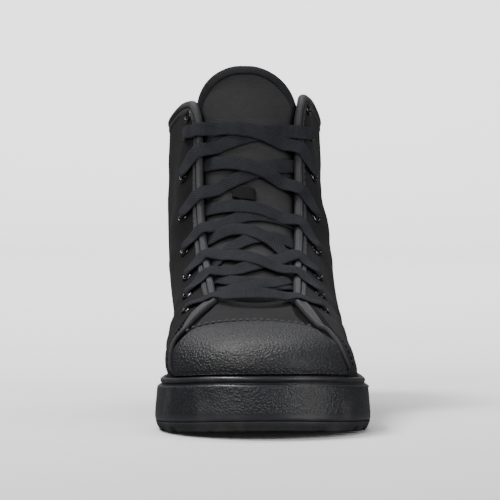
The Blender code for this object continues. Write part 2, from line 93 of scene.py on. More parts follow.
# A mesh object in metres from points in millimetres. Quads of a closed shape are turned to
# face outwards, by the sign of its volume. Points that coincide are welded, and a quad that
# this closes up turns into a triangle or goes. Fields are numbers at each point, by name.
def makeMesh(name, points, quads, material, slot, standsFor=(), uv=None, **fields):
    points = np.asarray(points, float).reshape(-1, 3)
    quads = np.asarray(quads, int)
    if signedVolume(points, quads) < 0:
        quads = quads[:, ::-1]
    _, first, welded = np.unique(np.round(points, 3), axis=0, return_index=True, return_inverse=True)
    corners = welded.reshape(-1)[quads]
    kept = corners != np.roll(corners, -1, axis=1)
    whole = (kept.sum(axis=1) > 2) & (corners[:, 0] != corners[:, 2]) & (corners[:, 1] != corners[:, 3])
    kept, corners, quads = kept[whole], corners[whole], quads[whole]
    sizes = kept.sum(axis=1)
    mesh = bpy.data.meshes.new(name)
    mesh.vertices.add(len(first))
    mesh.vertices.foreach_set("co", (points[first] * mm).astype(np.float32).ravel())
    mesh.loops.add(int(sizes.sum()))
    mesh.loops.foreach_set("vertex_index", corners[kept].astype(np.int32))
    mesh.polygons.add(len(quads))
    mesh.polygons.foreach_set("loop_start", (np.cumsum(sizes) - sizes).astype(np.int32))
    mesh.polygons.foreach_set("use_smooth", np.ones(len(quads), bool))
    if uv is not None:
        layer = mesh.uv_layers.new(name="cloth")
        layer.data.foreach_set("uv", np.asarray(uv, np.float32).reshape(-1, 2)[quads[kept]].ravel())
    for key, values in fields.items():
        values = np.asarray(values, np.float32).ravel()[first]
        mesh.attributes.new(key, "FLOAT", "POINT").data.foreach_set("value", values)
    mesh.update(calc_edges=True)
    mesh.validate()
    mesh.materials.append(material)
    piece = bpy.data.objects.new(name, mesh)
    bpy.context.scene.collection.objects.link(piece)
    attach(piece, "root")
    if standsFor:
        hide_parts(*standsFor)
    return piece


# Named columns of numbers. The first is what the others are read by.
def tableOf(columns, *rows):
    return dict(zip(columns.split(), np.array(rows, float).T))


# the last that the boot is built on, with the same numbers as the part
last = {"length": 303.0, "toeRound": 62.0, "heelRound": 42.0, "featherInset": 6.8, "wall": 2.2,
        "tread": 5.0, "lug": 3.0, "spring": 4.8, "springLength": 78.0}

# half widths of the tread either side of the heel-to-toe axis
planRows = tableOf(
    "fromToe halfMedial halfLateral",
    (0, 51.5, 53.6), (45, 53.0, 56.8), (85, 53.0, 59.2), (110, 50.0, 59.0), (145, 41.0, 54.5),
    (170, 38.0, 50.0), (200, 38.5, 46.0), (235, 41.5, 43.5), (260, 42.5, 42.5), (303, 42.0, 42.0))

# top of the side wall's lip, and the floor inside the cup
sideRows = tableOf(
    "fromToe lip floor",
    (0, 33.3, 14.5), (35, 30.4, 12.6), (80, 27.8, 11.6), (120, 27.2, 11.8), (170, 27.8, 14.2),
    (230, 29.4, 17.8), (303, 31.2, 19.0))

# the upper, a row for each section from the toe (0) round either side to the heel (1)
upperRows = tableOf(
    "along topFromToe topHalf topMedial topLateral swellMedial swellLateral rise ahead out down",
    (0.00, 97.0, 0.0, 64.0, 64.0, 2.0, 2.0, 23, 50, 0, 12.5),
    (0.14, 96.5, 9.0, 64.3, 64.3, 2.0, 0.5, 23, 44, 9, 12.0),
    (0.29, 92.0, 20.8, 65.0, 65.0, 3.0, -3.7, 23, 21, 14.5, 7.5),
    (0.36, 109.0, 22.0, 70.0, 70.0, 4.8, -4.6, 24, 9, 15.5, 7.5),
    (0.43, 131.0, 23.4, 80.5, 80.5, 6.8, -1.8, 29, 4, 16.5, 10.0),
    (0.50, 152.0, 25.4, 95.5, 95.5, 12.4, 4.0, 38, 1, 18.5, 15.0),
    (0.56, 169.0, 26.6, 115.5, 115.5, 16.0, 9.0, 46, -2, 21, 22.0),
    (0.61, 179.0, 27.0, 140.5, 140.5, 15.5, 12.5, 50, -5, 21, 29.0),
    (0.645, 183.5, 27.2, 160.5, 160.5, 14.0, 13.5, 50, -6, 17, 32.0),
    (0.67, 188.0, 30.0, 169.5, 173.0, 13.0, 13.0, 48, -4, 11, 33.0),
    (0.70, 198.5, 34.0, 170.3, 173.0, 12.0, 12.0, 46, -2, 6, 36.0),
    (0.76, 228.0, 41.4, 162.5, 162.0, 9.5, 11.0, 44, 0, 2, 40.0),
    (0.84, 261.0, 37.8, 158.0, 158.0, 7.0, 7.5, 42, 4, 0, 43.0),
    (0.92, 283.5, 22.0, 160.5, 160.5, 5.5, 5.5, 42, 9, -1, 45.0),
    (1.00, 291.5, 0.0, 162.5, 162.5, 5.0, 5.0, 42, 12, 0, 46.0))

eyeletRows = tableOf(
    "number walked inset",
    (1, 3.0, 19.0), (2, 24.0, 14.5), (3, 45.5, 13.5), (4, 68.0, 13.5), (5, 90.5, 13.5),
    (6, 113.0, 13.5), (7, 136.0, 12.5), (8, 152.5, 8.0))

tongueRows = tableOf(
    "row along half crown thick",
    (0.00, 0.285, 20.0, -0.6, 2.0), (0.08, 0.32, 24.0, 0.8, 3.0), (0.30, 0.43, 30.0, 9.0, 4.5),
    (0.55, 0.56, 31.0, 11.0, 5.5), (0.80, 0.645, 27.5, 10.5, 6.0))


# A column read at any place: a cubic through the rows, with slopes from their neighbours.
# An even column has level ends.
def readTable(rows, name, at, even=False):
    keys = next(iter(rows.values()))
    values = rows[name]
    slopes = np.gradient(values, keys)
    if even:
        slopes[[0, -1]] = 0
    at = np.asarray(at, float)
    row = np.clip(np.searchsorted(keys, at) - 1, 0, len(keys) - 2)
    span = keys[row + 1] - keys[row]
    t = (at - keys[row]) / span
    return ((2 * t**3 - 3 * t**2 + 1) * values[row] + (t**3 - 2 * t**2 + t) * span * slopes[row]
            + (3 * t**2 - 2 * t**3) * values[row + 1] + (t**3 - t**2) * span * slopes[row + 1])


# The same for a column of each side, by the side's sign.
def readSide(rows, name, at, side, even=False):
    return np.where(side > 0, readTable(rows, name + "Lateral", at, even), readTable(rows, name + "Medial", at, even))


# 0 below low, 1 above high, and an even S between them.
def smoothStep(low, high, value):
    t = np.clip((value - low) / (high - low), 0, 1)
    return t * t * (3 - 2 * t)


# Distance from the toe: half the length times one minus the cosine, so it crowds at both ends.
def fromToe(along):
    return 0.5 * last["length"] * (1 - np.cos(np.pi * np.asarray(along, float)))


def quarterRound(distance, reach):
    return np.sqrt(1 - np.clip(1 - distance / reach, 0, 1) ** 2)


# Edge of the tread: the tabled half width, drawn in by a quarter round at each end.
def treadEdge(along, side):
    behind = fromToe(along)
    half = readSide(planRows, "half", behind, side)
    ends = quarterRound(behind, last["toeRound"]) * quarterRound(last["length"] - behind, last["heelRound"])
    return joined(side * half * ends, behind)


# A place inset from the tread's edge, square to the edge's run, and the way out from there.
def insetEdge(along, side, inset):
    along, side, inset = sameShape(along, side, inset)
    step = 1e-4
    run = unit(treadEdge(np.clip(along + step, 0, 1), side) - treadEdge(np.clip(along - step, 0, 1), side))
    out = side[..., None] * joined(run[..., 1], -run[..., 0])
    return treadEdge(along, side) - inset[..., None] * out, out


partStations = np.arange(37) / 36
widest = treadEdge(partStations, 1)[:, 0].max() + treadEdge(partStations, -1)[:, 0].min()
axisX = -0.5 * widest  # puts the middle of the tread on x = 0


# A point from its distance across the boot's axis, its distance from the toe and its height.
def place(across, behind, z):
    return joined(across + axisX, behind - last["length"] / 2, z)


# Outer face of the upper: at each station a cubic curve from the sole (level 0) to the top
# edge (level 1). Side is -1 on the medial side and 1 on the lateral side.
def skin(along, side, level):
    along, side, level = sameShape(along, side, level)
    foot, out = insetEdge(along, side, last["featherInset"])
    low = joined(foot[..., 0], foot[..., 1], readTable(sideRows, "lip", foot[..., 1], True))
    swell = readSide(upperRows, "swell", along, side, True)
    aboveLow = low + joined(out[..., 0] * swell, out[..., 1] * swell, readTable(upperRows, "rise", along, True))
    top = joined(side * readTable(upperRows, "topHalf", along), readTable(upperRows, "topFromToe", along, True),
                 readSide(upperRows, "top", along, side, True))
    belowTop = top + joined(side * readTable(upperRows, "out", along), -readTable(upperRows, "ahead", along, True),
                            -readTable(upperRows, "down", along, True))
    h = level[..., None]
    point = (1 - h)**3 * low + 3 * (1 - h)**2 * h * aboveLow + 3 * (1 - h) * h**2 * belowTop + h**3 * top
    return place(point[..., 0], point[..., 1], point[..., 2])


# Outward normal: the run along the boot crossed with the climb up the wall.
def skinNormal(along, side, level):
    step = 2e-3
    along, side, level = sameShape(along, side, level)
    run = skin(np.clip(along + step, 0, 1), side, level) - skin(np.clip(along - step, 0, 1), side, level)
    climb = skin(along, side, np.clip(level + step, 0, 1)) - skin(along, side, np.clip(level - step, 0, 1))
    return unit(np.cross(run, climb) * side[..., None])


# Creases where the boot bends: each a trough along a line, with a low ridge on either side.
# Depth times a Gaussian of the distance across it, faded towards both ends of the line.
creases = tableOf(
    "x y z toX toY toZ wide deep",
    (-32, -56, 62, 25, -58, 62, 3.5, 0.30),  # across the vamp, under the lace's first run
    (-45, -80, 50, -50, -60, 34, 5.0, 0.60),  # from the vamp down to the ball, medial
    (38, -82, 50, 50, -58, 32, 5.0, 0.60),  # the same, lateral
    (-44, -38, 62, -50, -14, 36, 6.0, 0.70),
    (41, -38, 62, 50, -10, 36, 6.0, 0.70),
    (-40, 14, 96, -46, 62, 84, 6.5, 0.80),  # ankle, medial
    (-39, 24, 118, -47, 78, 110, 7.0, 0.70),
    (34, 14, 96, 42, 62, 84, 6.5, 0.80),  # ankle, lateral
    (33, 24, 118, 43, 78, 110, 7.0, 0.70),
    (-34, 118, 92, -14, 140, 88, 6.0, 0.55),  # above the heel
    (28, 118, 92, 8, 140, 88, 6.0, 0.55),
    (-43, 60, 128, -34, 118, 124, 8.0, 0.50),
    (38, 60, 128, 28, 118, 124, 8.0, 0.50))


def creaseDepth(points):
    total = np.zeros(points.shape[:-1])
    for x, y, z, toX, toY, toZ, wide, deep in zip(*creases.values()):
        start, run = np.array([x, y, z]), np.array([toX - x, toY - y, toZ - z])
        t = ((points - start) @ run) / (run @ run)
        beside = points - start - np.clip(t, 0, 1)[..., None] * run
        away = np.linalg.norm(beside, axis=-1) / wide
        fade = smoothStep(-0.35, 0.25, t) * (1 - smoothStep(0.75, 1.35, t))
        total += deep * fade * (0.45 * np.exp(-((away - 1.5) / 0.7) ** 2) - np.exp(-away**2))
    return total


# Slow unevenness of stretched leather: a few crossed sine waves of the place.
def stretchWave(points, size):
    x, y, z = (points[..., i] / size for i in range(3))
    return (np.sin(1.7 * x + 0.9 * y) * np.sin(1.3 * z - 0.6 * y) + 0.6 * np.sin(2.3 * y + 1.1 * z + 0.7 * x)
            + 0.4 * np.sin(3.1 * z + 1.9 * x)) / 2


# Height of a pebbled grain: in a jittered grid of seeds, the gap between the two nearest ones
# makes rounded cells with narrow valleys. 0 in a valley, 1 on a pebble.
def pebbleHeight(points, size, seed=3.0):
    cell = np.floor(points / size)
    best = np.full(points.shape[:-1], 9.0)
    second = best.copy()
    for step in np.ndindex(3, 3, 3):
        corner = cell + np.array(step) - 1
        key = corner @ np.array([127.1, 311.7, 74.7]) + seed
        jitter = joined(*(np.modf(np.sin(key + shift) * 43758.5453)[0] % 1 for shift in (0, 19.19, 47.3)))
        gap = np.linalg.norm(corner + jitter - points / size, axis=-1)
        second = np.where(gap < best, best, np.minimum(second, gap))
        best = np.minimum(best, gap)
    return smoothStep(0.02, 0.42, second - best)


# A node with its settings. An input is a constant or a link, under its name or n and its number.
def addNode(tree, kind, settings=None, **inputs):
    node = tree.nodes.new(kind)
    for key, value in (settings or {}).items():
        setattr(node, key, value)
    for key, value in inputs.items():
        numbered = key[0] == "n" and key[1:].isdigit()
        socket = node.inputs[int(key[1:]) if numbered else key.replace("_", " ")]
        if isinstance(value, bpy.types.NodeSocket):
            tree.links.new(value, socket)
        else:
            socket.default_value = value
    return node


def maths(tree, operation, a, b=0.0, c=0.0):
    return addNode(tree, "ShaderNodeMath", {"operation": operation}, n0=a, n1=b, n2=c).outputs[0]


def times(tree, a, b):
    return maths(tree, "MULTIPLY", a, b)


def plus(tree, a, b):
    return maths(tree, "ADD", a, b)


def minus(tree, a, b):
    return maths(tree, "SUBTRACT", a, b)


# An even S from toLow to toHigh as the value goes from low to high.
def ramp(tree, value, low, high, toLow=0.0, toHigh=1.0):
    return addNode(tree, "ShaderNodeMapRange", {"interpolation_type": "SMOOTHSTEP"}, Value=value, From_Min=low,
                   From_Max=high, To_Min=toLow, To_Max=toHigh).outputs[0]


# Two colours mixed: each is a link or three numbers.
def mixColour(tree, factor, a, b):
    a, b = (colour if isinstance(colour, bpy.types.NodeSocket) else (*colour, 1) for colour in (a, b))
    return addNode(tree, "ShaderNodeMix", {"data_type": "RGBA"}, n0=factor, n6=a, n7=b).outputs[2]


def noise(tree, vector, scale, detail=4.0, roughness=0.55):
    return addNode(tree, "ShaderNodeTexNoise", None, Vector=vector, Scale=scale, Detail=detail,
                   Roughness=roughness).outputs[0]


def cells(tree, vector, scale, feature="F1", **inputs):
    return addNode(tree, "ShaderNodeTexVoronoi", {"feature": feature}, Vector=vector, Scale=scale,
                   **inputs).outputs["Distance"]


def mapped(tree, vector, **inputs):
    return addNode(tree, "ShaderNodeMapping", None, Vector=vector, **inputs).outputs[0]


def splitUp(tree, vector):
    return addNode(tree, "ShaderNodeSeparateXYZ", None, Vector=vector).outputs


def attribute(tree, name):
    return addNode(tree, "ShaderNodeAttribute", {"attribute_name": name}).outputs["Fac"]


# A node group with named inputs, each with its default, and named outputs, filled by a function.
# An input without a default is a vector.
def shaderGroup(name, fill, outputs, **inputs):
    tree = bpy.data.node_groups.new(name, "ShaderNodeTree")
    for key, default in inputs.items():
        kind = "NodeSocketVector" if default is None else "NodeSocketFloat"
        socket = tree.interface.new_socket(name=key.replace("_", " "), in_out="INPUT", socket_type=kind)
        if default is not None:
            socket.default_value = default
    for key in outputs:
        tree.interface.new_socket(name=key, in_out="OUTPUT", socket_type="NodeSocketFloat")
    source = tree.nodes.new("NodeGroupInput")
    sink = tree.nodes.new("NodeGroupOutput")
    for key, value in fill(tree, source.outputs).items():
        tree.links.new(value, sink.inputs[key])
    return tree


def placeGroup(tree, group, **inputs):
    return addNode(tree, "ShaderNodeGroup", {"node_tree": group}, **inputs).outputs


# Pebbled grain: cells of two sizes, their valleys narrow, with a fine noise on top.
def fillPebble(tree, given):
    big = cells(tree, given["Place"], given["Scale"], "SMOOTH_F1", Smoothness=0.25)
    small = cells(tree, given["Place"], times(tree, given["Scale"], 2.3))
    domes = times(tree, ramp(tree, big, 0.75, 0.05), 0.75)
    beads = times(tree, ramp(tree, small, 0.8, 0.05), 0.25)
    both = plus(tree, domes, beads)
    fine = times(tree, noise(tree, given["Place"], 2600.0, 2.0), given["Fine"])
    return {"Height": plus(tree, both, fine), "Valley": minus(tree, 1.0, both)}


# Woven cloth: across each thread a rounded profile, over and under by turns on a checked
# lattice of threads, in the piece's own millimetres.
def fillWeave(tree, given):
    parts = splitUp(tree, given["Place"])
    u = times(tree, parts[0], given["Threads U"])
    v = times(tree, parts[1], given["Threads V"])
    roundU, roundV = (maths(tree, "ABSOLUTE", maths(tree, "SINE", times(tree, w, np.pi))) for w in (u, v))
    slide = plus(tree, v, times(tree, u, given["Twill"]))
    turn = ramp(tree, maths(tree, "SINE", times(tree, slide, np.pi)), -0.35, 0.35)
    height = addNode(tree, "ShaderNodeMix", {"data_type": "FLOAT"}, n0=turn, n2=roundU, n3=roundV).outputs[0]
    fuzz = times(tree, noise(tree, given["Place"], given["Fuzz"], 3.0), 0.5)
    return {"Height": plus(tree, height, fuzz), "Gap": minus(tree, 1.0, height)}


# Nap of buffed leather: short brushed fibres on slow cloudy patches.
def fillNap(tree, given):
    fibres = noise(tree, mapped(tree, given["Place"], Scale=(1.0, 1.0, 0.45)), 1500.0, 5.0, 0.7)
    cloud = noise(tree, given["Place"], given["Cloud"], 3.0, 0.5)
    pores = times(tree, cells(tree, given["Place"], 900.0), 0.35)
    return {"Height": plus(tree, fibres, pores), "Cloud": cloud, "Fibre": fibres}


# Handling: faint dust in patches, thicker low down, and scuffed streaks.
def fillWear(tree, given):
    low = ramp(tree, splitUp(tree, given["Place"])[2], 0.0, 0.09, 1.0, 0.25)
    patch = ramp(tree, noise(tree, given["Place"], 38.0, 5.0, 0.6), 0.45, 0.8)
    streaks = mapped(tree, given["Place"], Rotation=(0.3, 0.2, 0.6), Scale=(60.0, 400.0, 700.0))
    scuff = ramp(tree, noise(tree, streaks, 1.0, 4.0, 0.65), 0.6, 0.78)
    return {"Dust": times(tree, times(tree, patch, low), given["Amount"]), "Scuff": times(tree, scuff, given["Amount"])}


# Machine-laid lines, as on a moulded wall or a ribbed tape: a rounded ridge every step.
def fillLines(tree, given):
    turn = times(tree, times(tree, splitUp(tree, given["Place"])[1], given["Per mm"]), 2 * np.pi)
    return {"Height": maths(tree, "MULTIPLY_ADD", maths(tree, "SINE", turn), 0.5, 0.5)}


# Painted shade: colour darkened where little of the light from all round gets in past what lies within reach, and where
# the piece itself marks a gap. Together they are one minus the product of what each lets through.
def fillPaintedShade(tree, given):
    bare = addNode(tree, "ShaderNodeAmbientOcclusion", {"samples": 6}, Distance=given["Reach"]).outputs["AO"]
    shut = times(tree, ramp(tree, bare, 0.25, 0.85, 1.0, 0.0), given["Amount"])
    through = times(tree, minus(tree, 1.0, shut), minus(tree, 1.0, given["Gap"]))
    return {"Shade": minus(tree, 1.0, through)}


pebbleGroup = shaderGroup("pebbledGrain", fillPebble, ("Height", "Valley"), Place=None, Scale=420.0, Fine=0.15)
weaveGroup = shaderGroup("wovenThreads", fillWeave, ("Height", "Gap"), Place=None, Threads_U=1.0, Threads_V=1.0,
                         Twill=1.0, Fuzz=3.0)
napGroup = shaderGroup("buffedNap", fillNap, ("Height", "Cloud", "Fibre"), Place=None, Cloud=45.0)
wearGroup = shaderGroup("handlingWear", fillWear, ("Dust", "Scuff"), Place=None, Amount=1.0)
linesGroup = shaderGroup("mouldedLines", fillLines, ("Height",), Place=None, Per_mm=1.0)
paintedShadeGroup = shaderGroup("paintedCloseShade", fillPaintedShade, ("Shade",), Reach=0.006, Amount=0.85, Gap=0.0)

dustColour = (0.09, 0.088, 0.086)
# Near black: painted shade in crevices, narrow gaps and under edges; on the collar's binding it also darkens the tape's
# own colour.
shadeAndDyeColour = (0.0015, 0.0015, 0.0018)  # of narrow gaps, under an edge


def dusted(tree, colour, wear, amount):
    return mixColour(tree, times(tree, wear["Dust"], amount), colour, dustColour)


# Colour darkened towards the shade colour by that mask: painted shade.
def withPaintedShade(tree, colour, **inputs):
    return mixColour(tree, placeGroup(tree, paintedShadeGroup, **inputs)["Shade"], colour, shadeAndDyeColour)


# A Principled material. Paint is given the tree and its coordinates, and returns the colour,
# the roughness, the height of the relief and its depth in metres.
def finishOf(name, paint, sheen=0.0, coat=0.0, specular=0.5, metallic=0.0):
    material = bpy.data.materials.new(name)
    material.use_nodes = True
    tree = material.node_tree
    shader = tree.nodes["Principled BSDF"]
    coords = tree.nodes.new("ShaderNodeTexCoord").outputs
    colour, roughness, height, depth = paint(tree, coords["Object"], coords["UV"])
    tree.links.new(colour, shader.inputs["Base Color"])
    tree.links.new(roughness, shader.inputs["Roughness"])
    bump = addNode(tree, "ShaderNodeBump", None, Height=height, Distance=depth, Strength=1.0)
    tree.links.new(bump.outputs[0], shader.inputs["Normal"])
    for key, value in (("Sheen Weight", sheen), ("Sheen Roughness", 0.45), ("Coat Weight", coat),
                       ("Coat Roughness", 0.35), ("Specular IOR Level", specular), ("Metallic", metallic)):
        shader.inputs[key].default_value = value
    return material


# Buffed leather: two browns or greys in clouds, paler on its fibres, duller where it is scuffed.
def paintNubuck(base, pale):
    def paint(tree, spot, uv):
        nap = placeGroup(tree, napGroup, Place=spot)
        wear = placeGroup(tree, wearGroup, Place=spot, Amount=0.5)
        shade = mixColour(tree, ramp(tree, nap["Cloud"], 0.2, 0.8, 0.25, 0.75), base, pale)
        shade = mixColour(tree, times(tree, ramp(tree, nap["Fibre"], 0.55, 0.85), 0.35), shade, dustColour)
        # painted shade where other pieces lie close
        shade = withPaintedShade(tree, dusted(tree, shade, wear, 0.25))
        return shade, minus(tree, 0.9, times(tree, wear["Scuff"], 0.15)), nap["Height"], 0.00022
    return paint


def paintPebbled(tree, spot, uv):
    grain = placeGroup(tree, pebbleGroup, Place=spot, Scale=760.0, Fine=0.12)
    wear = placeGroup(tree, wearGroup, Place=spot, Amount=0.6)
    shade = mixColour(tree, ramp(tree, grain["Valley"], 0.25, 0.9), (0.0122, 0.0126, 0.0156), (0.0045, 0.0047, 0.0059))
    # painted shade in crevices and in the gap beside the quarters' front edges
    shade = withPaintedShade(tree, dusted(tree, shade, wear, 0.2), Reach=0.0015, Amount=0.25, Gap=attribute(tree, "gap"))
    return shade, plus(tree, 0.40, times(tree, grain["Valley"], 0.2)), grain["Height"], 0.00042


# Moulded rubber: pebbled in front, lined along the sides, polished on the edges of its lip, which are also painted
# paler as a highlight.
def paintRubber(tree, spot, uv):
    grain = placeGroup(tree, pebbleGroup, Place=spot, Scale=800.0, Fine=0.3)
    lines = placeGroup(tree, linesGroup, Place=uv, Per_mm=1.05)
    wear = placeGroup(tree, wearGroup, Place=spot, Amount=1.0)
    pebbled, lined, rubbed = (attribute(tree, name) for name in ("pebbled", "lined", "rubbed"))
    shade = mixColour(tree, times(tree, grain["Valley"], pebbled), (0.0165, 0.017, 0.0208), (0.008, 0.0083, 0.0103))
    # paler along those edges: painted highlight
    shade = mixColour(tree, times(tree, rubbed, 0.35), shade, (0.06, 0.061, 0.066))
    rough = plus(tree, 0.42, times(tree, wear["Dust"], 0.3))
    rough = minus(tree, rough, times(tree, rubbed, 0.22))
    height = plus(tree, times(tree, grain["Height"], pebbled), times(tree, lines["Height"], lined))
    return dusted(tree, shade, wear, 0.4), rough, height, 0.00028


def paintTread(tree, spot, uv):
    wear = placeGroup(tree, wearGroup, Place=spot, Amount=1.0)
    fine = noise(tree, spot, 900.0)
    shade = mixColour(tree, ramp(tree, fine, 0.3, 0.75), (0.016, 0.0162, 0.018), (0.025, 0.0253, 0.028))
    shade = mixColour(tree, times(tree, attribute(tree, "rubbed"), 0.3), shade, (0.05, 0.05, 0.052))
    return dusted(tree, shade, wear, 0.5), ramp(tree, fine, 0.2, 0.8, 0.55, 0.75), fine, 0.00015


# Cloth woven in the piece's own millimetres, read from its UV map: dark thread with pale crowns,
# threads to the millimetre both ways.
def paintCloth(base, pale, threads, twill=0.0, depth=0.0002, patch=30.0, roughness=0.9, reach=0.006):
    def paint(tree, spot, uv):
        weave = placeGroup(tree, weaveGroup, Place=uv, Threads_U=threads[0], Threads_V=threads[1], Twill=twill)
        wear = placeGroup(tree, wearGroup, Place=spot, Amount=0.4)
        shade = mixColour(tree, ramp(tree, weave["Gap"], 0.1, 0.8), pale, base)
        shade = mixColour(tree, ramp(tree, noise(tree, spot, patch), 0.35, 0.8, 0.0, 0.35), shade, base)
        # painted shade where other pieces lie close and where the piece marks a gap
        shade = withPaintedShade(tree, dusted(tree, shade, wear, 0.3), Reach=reach, Gap=attribute(tree, "gap"))
        rough = ramp(tree, weave["Gap"], 0.0, 1.0, roughness - 0.1, min(roughness + 0.08, 1.0))
        return shade, rough, weave["Height"], depth
    return paint


def paintEyelet(tree, spot, uv):
    fine = noise(tree, spot, 1800.0, 3.0)
    shade = mixColour(tree, attribute(tree, "rubbed"), (0.03, 0.03, 0.033), (0.11, 0.11, 0.116))
    return shade, ramp(tree, fine, 0.3, 0.8, 0.12, 0.25), fine, 0.00003


# Twisted thread: slanted ridges round each stitch.
def paintThread(base, pale):
    def paint(tree, spot, uv):
        lay = placeGroup(tree, linesGroup, Place=mapped(tree, uv, Rotation=(0, 0, 0.7)), Per_mm=3.0)
        fuzz = noise(tree, spot, 2500.0, 2.0)
        shade = mixColour(tree, ramp(tree, fuzz, 0.3, 0.7), base, pale)
        return shade, ramp(tree, fuzz, 0.0, 1.0, 0.75, 0.95), lay["Height"], 0.0001
    return paint


def clothOf(name, base, pale, threads, sheen, specular, **weave):
    return finishOf(name, paintCloth(base, pale, threads, **weave), sheen, specular=specular)


nubuckMedial = finishOf("nubuckBrownBlack", paintNubuck((0.0085, 0.008, 0.0081), (0.0165, 0.0156, 0.0157)),
                        0.02, specular=0.05)
nubuckLateral = finishOf("nubuckCharcoal", paintNubuck((0.0135, 0.0135, 0.0147), (0.0235, 0.0235, 0.025)),
                         0.02, specular=0.05)
pebbledLeather = finishOf("toePebbledLeather", paintPebbled, coat=0.08)
cupRubber = finishOf("cupRubber", paintRubber)
treadRubber = finishOf("treadRubber", paintTread, specular=0.4)
eyeletMetal = finishOf("eyeletMetal", paintEyelet, metallic=1.0)
darkThread = finishOf("darkThread", paintThread((0.004, 0.004, 0.0045), (0.01, 0.01, 0.011)), specular=0.08)
greyThread = finishOf("greyThread", paintThread((0.05, 0.05, 0.053), (0.1, 0.1, 0.106)), specular=0.1)

# each cloth's dark and pale colours, threads, sheen and specular level
vampCloth = clothOf("vampCanvas", (0.0235, 0.0235, 0.0245), (0.052, 0.052, 0.054), (2.4, 2.4), 0.0, 0.02, reach=0.002)
bindingTape = clothOf("greyBinding", (0.02, 0.02, 0.0228), (0.046, 0.046, 0.052), (2.2, 1.4), 0.03, 0.4,
                      depth=0.00018, roughness=0.62)
tongueCloth = clothOf("tongueWeave", (0.0265, 0.0265, 0.0275), (0.061, 0.061, 0.0635), (1.7, 1.7), 0.02, 0.05,
                      depth=0.00025)
tongueTape = clothOf("tongueTape", (0.011, 0.0112, 0.0122), (0.032, 0.0325, 0.0355), (0.9, 2.6), 0.03, 0.08,
                     depth=0.00025)
laceCotton = clothOf("laceCotton", (0.009, 0.0093, 0.0112), (0.039, 0.0405, 0.048), (1.5, 1.5), 0.02, 0.08,
                     twill=1.0, depth=0.00035, patch=120.0)
keeperTape = clothOf("keeperWebbing", (0.0025, 0.0025, 0.0028), (0.008, 0.008, 0.0085), (1.3, 2.2), 0.03, 0.25,
                     depth=0.00025)
liningCloth = clothOf("liningMesh", (0.007, 0.007, 0.0074), (0.018, 0.018, 0.019), (1.2, 1.2), 0.0, 0.05,
                      twill=1.0, depth=0.0003)
footbedCloth = clothOf("footbedCloth", (0.008, 0.008, 0.0085), (0.022, 0.022, 0.023), (1.6, 1.6), 0.0, 0.05, twill=1.0)
print("materials made")


cup = {"stations": 250, "knotsRound": 96, "pebble": 0.065, "pebbleSize": 1.7, "groove": 1.3, "lined": 0.8,
       # inset, share of the way from the tread to the lip, and rise: bottom edge, wall, bead,
       # groove, lip, and down inside
       "profile": ((7.9, 0, 0.35), (1.4, 0, 0.02), (0.7, 0, 0.1), (0.25, 0, 0.5), (0.02, 0, 1.3), (0.0, 0, 2.2),
                   (0.1, 0.15, 1.2), (0.6, 0.5, -0.6), (1.15, 0.86, -3.2), (1.3, 1, -6.4), (1.38, 1, -6.0),
                   (1.6, 1, -5.7), (2.5, 1, -5.45), (3.6, 1, -5.25), (4.2, 1, -4.9), (4.0, 1, -4.5), (3.4, 1, -4.15),
                   (3.0, 1, -3.7), (2.8, 1, -3.2), (2.75, 1, -2.7), (2.95, 1, -2.1), (3.4, 1, -1.65),
                   (4.0, 1, -1.45), (4.8, 1, -1.35), (5.6, 1, -1.45), (6.2, 1, -1.8), (6.6, 1, -2.6),
                   (7.3, 1, -6.0), (9.5, 1, -9.0))}


# Stations once round the boot: back along the lateral side, forward along the medial one. Near
# a dense station they lie five times closer.
def stationsRound(perSide, dense=None):
    lateral = np.arange(perSide + 1) / perSide
    if dense is not None:
        walk = np.linspace(0, 1, 2000)
        crowd = np.cumsum(1 + 4 * np.exp(-((walk - dense) / 0.06) ** 2))
        lateral = np.interp(lateral, (crowd - crowd[0]) / (crowd[-1] - crowd[0]), walk)
    side = np.concatenate([np.ones(perSide + 1), -np.ones(perSide - 1)])
    return np.concatenate([lateral, lateral[-2:0:-1]]), side


def treadHeight(behind):
    return last["spring"] * np.clip(1 - behind / last["springLength"], 0, 1) ** 2


# Knots read at even steps of their own length, on a smooth curve through them.
def smoothThrough(knots, count, shares=None):
    knots = np.asarray(knots, float)
    gone = np.concatenate([[0], np.cumsum(np.linalg.norm(np.diff(knots[:, :3], axis=0), axis=1) + 1e-6)])
    at = np.linspace(0, gone[-1], count) if shares is None else np.asarray(shares) * gone[-1]
    return np.stack([readTable({"gone": gone, "value": column}, "value", at) for column in knots.T], axis=1)


